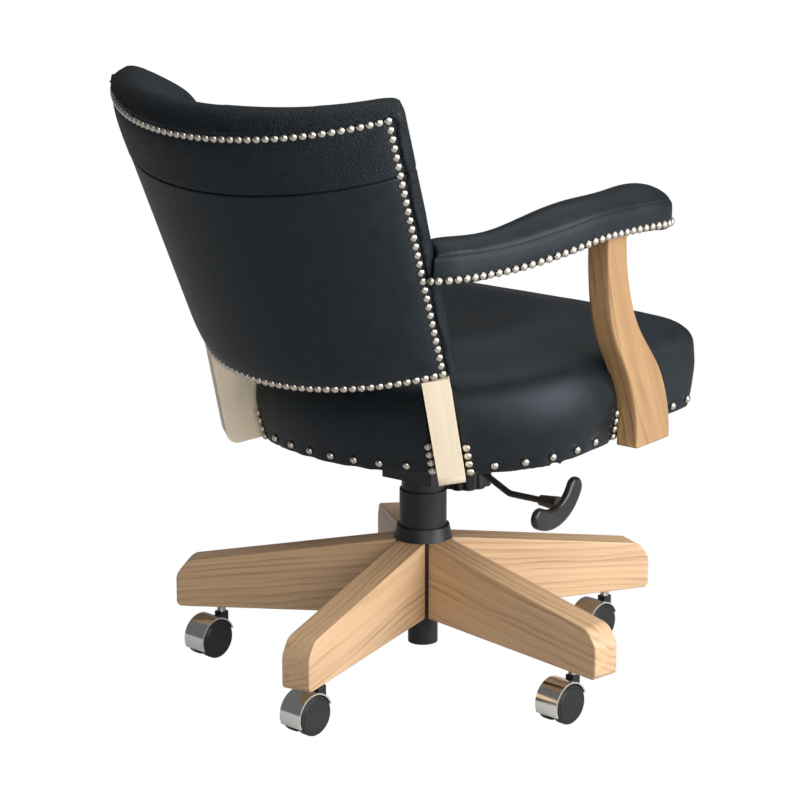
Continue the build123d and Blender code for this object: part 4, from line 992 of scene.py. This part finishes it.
REAR_LIGHT = (0.88, 0.77, 0.595)
REAR_DARK = (0.70, 0.54, 0.35)
FRONT_LIGHT = (0.44, 0.262, 0.118)
FRONT_DARK = (0.23, 0.11, 0.042)
REAR_GRAIN = (0, math.sin(BACK_LEAN), math.cos(BACK_LEAN))
FRONT_GRAIN = (0, 0.42, 1)
POST_GLOSS = 0.34
REAR_EDGE = 0.0018
FRONT_EDGE = 0.0030
for side, turn in (("left", 1), ("right", -1)):
    rear_wood = wood(
        f"rear_post_wood_{side}",
        REAR_GRAIN,
        pith=(0.42 * turn, 0.60),
        ring=0.0045,
        light=REAR_LIGHT,
        dark=REAR_DARK,
        gloss=POST_GLOSS,
        waver=0.02,
        contrast=0.35,
    )
    paint(f"rear_post_{side}", rear_wood)
    front_wood = wood(
        f"front_post_wood_{side}",
        FRONT_GRAIN,
        pith=(0.10 * turn, 0.05),
        ring=0.010,
        light=FRONT_LIGHT,
        dark=FRONT_DARK,
        gloss=POST_GLOSS,
        waver=0.03,
        contrast=1.2,
    )
    paint(f"front_post_{side}", front_wood)
    smooth_edges(f"rear_post_{side}", REAR_EDGE)
    smooth_edges(f"front_post_{side}", FRONT_EDGE)
PLY_LIGHT = (0.60, 0.44, 0.28)
PLY_DARK = (0.42, 0.28, 0.16)
ply = wood("plywood", (1, 0, 0), pith=(0.0, 0.4), ring=0.006, light=PLY_LIGHT, dark=PLY_DARK, gloss=0.5)
paint("seat_deck", ply)
paint("back_shell", ply)


# Nail heads: domed nickel-plated tacks, slightly worn, set one by one on the leather at the
# places that the seat, the back and the arm pads have listed.
NAIL_DIAMETER = 0.0098
NAIL_DOME = 0.0036
NAIL_DARK = (0.48, 0.44, 0.37, 1)
NAIL_LIGHT = (0.72, 0.68, 0.61, 1)
nail_metal, nail_shader, nail_spot = new_material("nail_nickel", Metallic=1.0)
tarnish = nail_spot.noise(420.0, 3.0)
tarnish.mixed(NAIL_DARK, NAIL_LIGHT).feeds(nail_shader.inputs["Base Color"])
(tarnish * 0.22 + 0.16).feeds(nail_shader.inputs["Roughness"])
tarnish.bump(0.0002, 0.3).feeds(nail_shader.inputs["Normal"])

nail_mesh = bpy.data.meshes.new("nail_places")
nail_mesh.from_pydata([tuple(spot) for spot, _ in nails], [], [])
ways = nail_mesh.attributes.new("way", "FLOAT_VECTOR", "POINT")
ways.data.foreach_set("vector", np.array([tuple(way) for _, way in nails], dtype=np.float32).reshape(-1))
nail_heads = bpy.data.objects.new("nail_heads", nail_mesh)
scene.collection.objects.link(nail_heads)

tree = bpy.data.node_groups.new("nails", "GeometryNodeTree")
tree.interface.new_socket("Geometry", in_out="INPUT", socket_type="NodeSocketGeometry")
diameter_input = tree.interface.new_socket("Diameter", in_out="INPUT", socket_type="NodeSocketFloat")
dome_input = tree.interface.new_socket("Dome", in_out="INPUT", socket_type="NodeSocketFloat")
tree.interface.new_socket("Geometry", in_out="OUTPUT", socket_type="NodeSocketGeometry")
entry = tree.nodes.new("NodeGroupInput")
leave = tree.nodes.new("NodeGroupOutput")
ball = tree.nodes.new("GeometryNodeMeshUVSphere")
ball.inputs["Segments"].default_value = 18
ball.inputs["Rings"].default_value = 10
ball.inputs["Radius"].default_value = 1.0
scale = tree.nodes.new("ShaderNodeCombineXYZ")
half = tree.nodes.new("ShaderNodeMath")
half.operation = "MULTIPLY"
half.inputs[1].default_value = 0.5
flatten = tree.nodes.new("GeometryNodeTransform")
way = tree.nodes.new("GeometryNodeInputNamedAttribute")
way.data_type = "FLOAT_VECTOR"
way.inputs["Name"].default_value = "way"
turn = tree.nodes.new("FunctionNodeAlignRotationToVector")
turn.axis = "Z"
spread = tree.nodes.new("GeometryNodeInstanceOnPoints")
real = tree.nodes.new("GeometryNodeRealizeInstances")
shade = tree.nodes.new("GeometryNodeSetShadeSmooth")
dress = tree.nodes.new("GeometryNodeSetMaterial")
dress.inputs["Material"].default_value = nail_metal
link = tree.links.new
link(entry.outputs["Diameter"], half.inputs[0])
link(half.outputs[0], scale.inputs["X"])
link(half.outputs[0], scale.inputs["Y"])
link(entry.outputs["Dome"], scale.inputs["Z"])
link(ball.outputs["Mesh"], flatten.inputs["Geometry"])
link(scale.outputs[0], flatten.inputs["Scale"])
link(way.outputs["Attribute"], turn.inputs["Vector"])
link(entry.outputs["Geometry"], spread.inputs["Points"])
link(flatten.outputs[0], spread.inputs["Instance"])
link(turn.outputs[0], spread.inputs["Rotation"])
link(spread.outputs[0], real.inputs[0])
link(real.outputs[0], shade.inputs[0])
link(shade.outputs[0], dress.inputs["Geometry"])
link(dress.outputs[0], leave.inputs[0])
setter = nail_heads.modifiers.new("nails", "NODES")
setter.node_group = tree
setter[diameter_input.identifier] = NAIL_DIAMETER
setter[dome_input.identifier] = NAIL_DOME
nail_mesh = applied(nail_heads)
nail_heads.modifiers.clear()
nail_heads.data = nail_mesh
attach(nail_heads, "seat")

# Tilt spring: a rubber block between the tension knob and the mechanism's floor, which the knob
# squeezes upwards as the seat tilts.
RUBBER_BLACK = (0.02, 0.02, 0.02)
rubber = coated("rubber", RUBBER_BLACK, rough=0.75, peel=400.0, depth=0.0004)
spring_mesh = nodes["tilt_spring"].data.copy()
spring_mesh.transform(nodes["tilt_spring"].matrix_world)
spring = plain_object("tilt_spring_rubber", spring_mesh, rubber)
for polygon in spring_mesh.polygons:
    polygon.use_smooth = False
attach(spring, "lift")
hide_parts("tilt_spring")
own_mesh(spring)
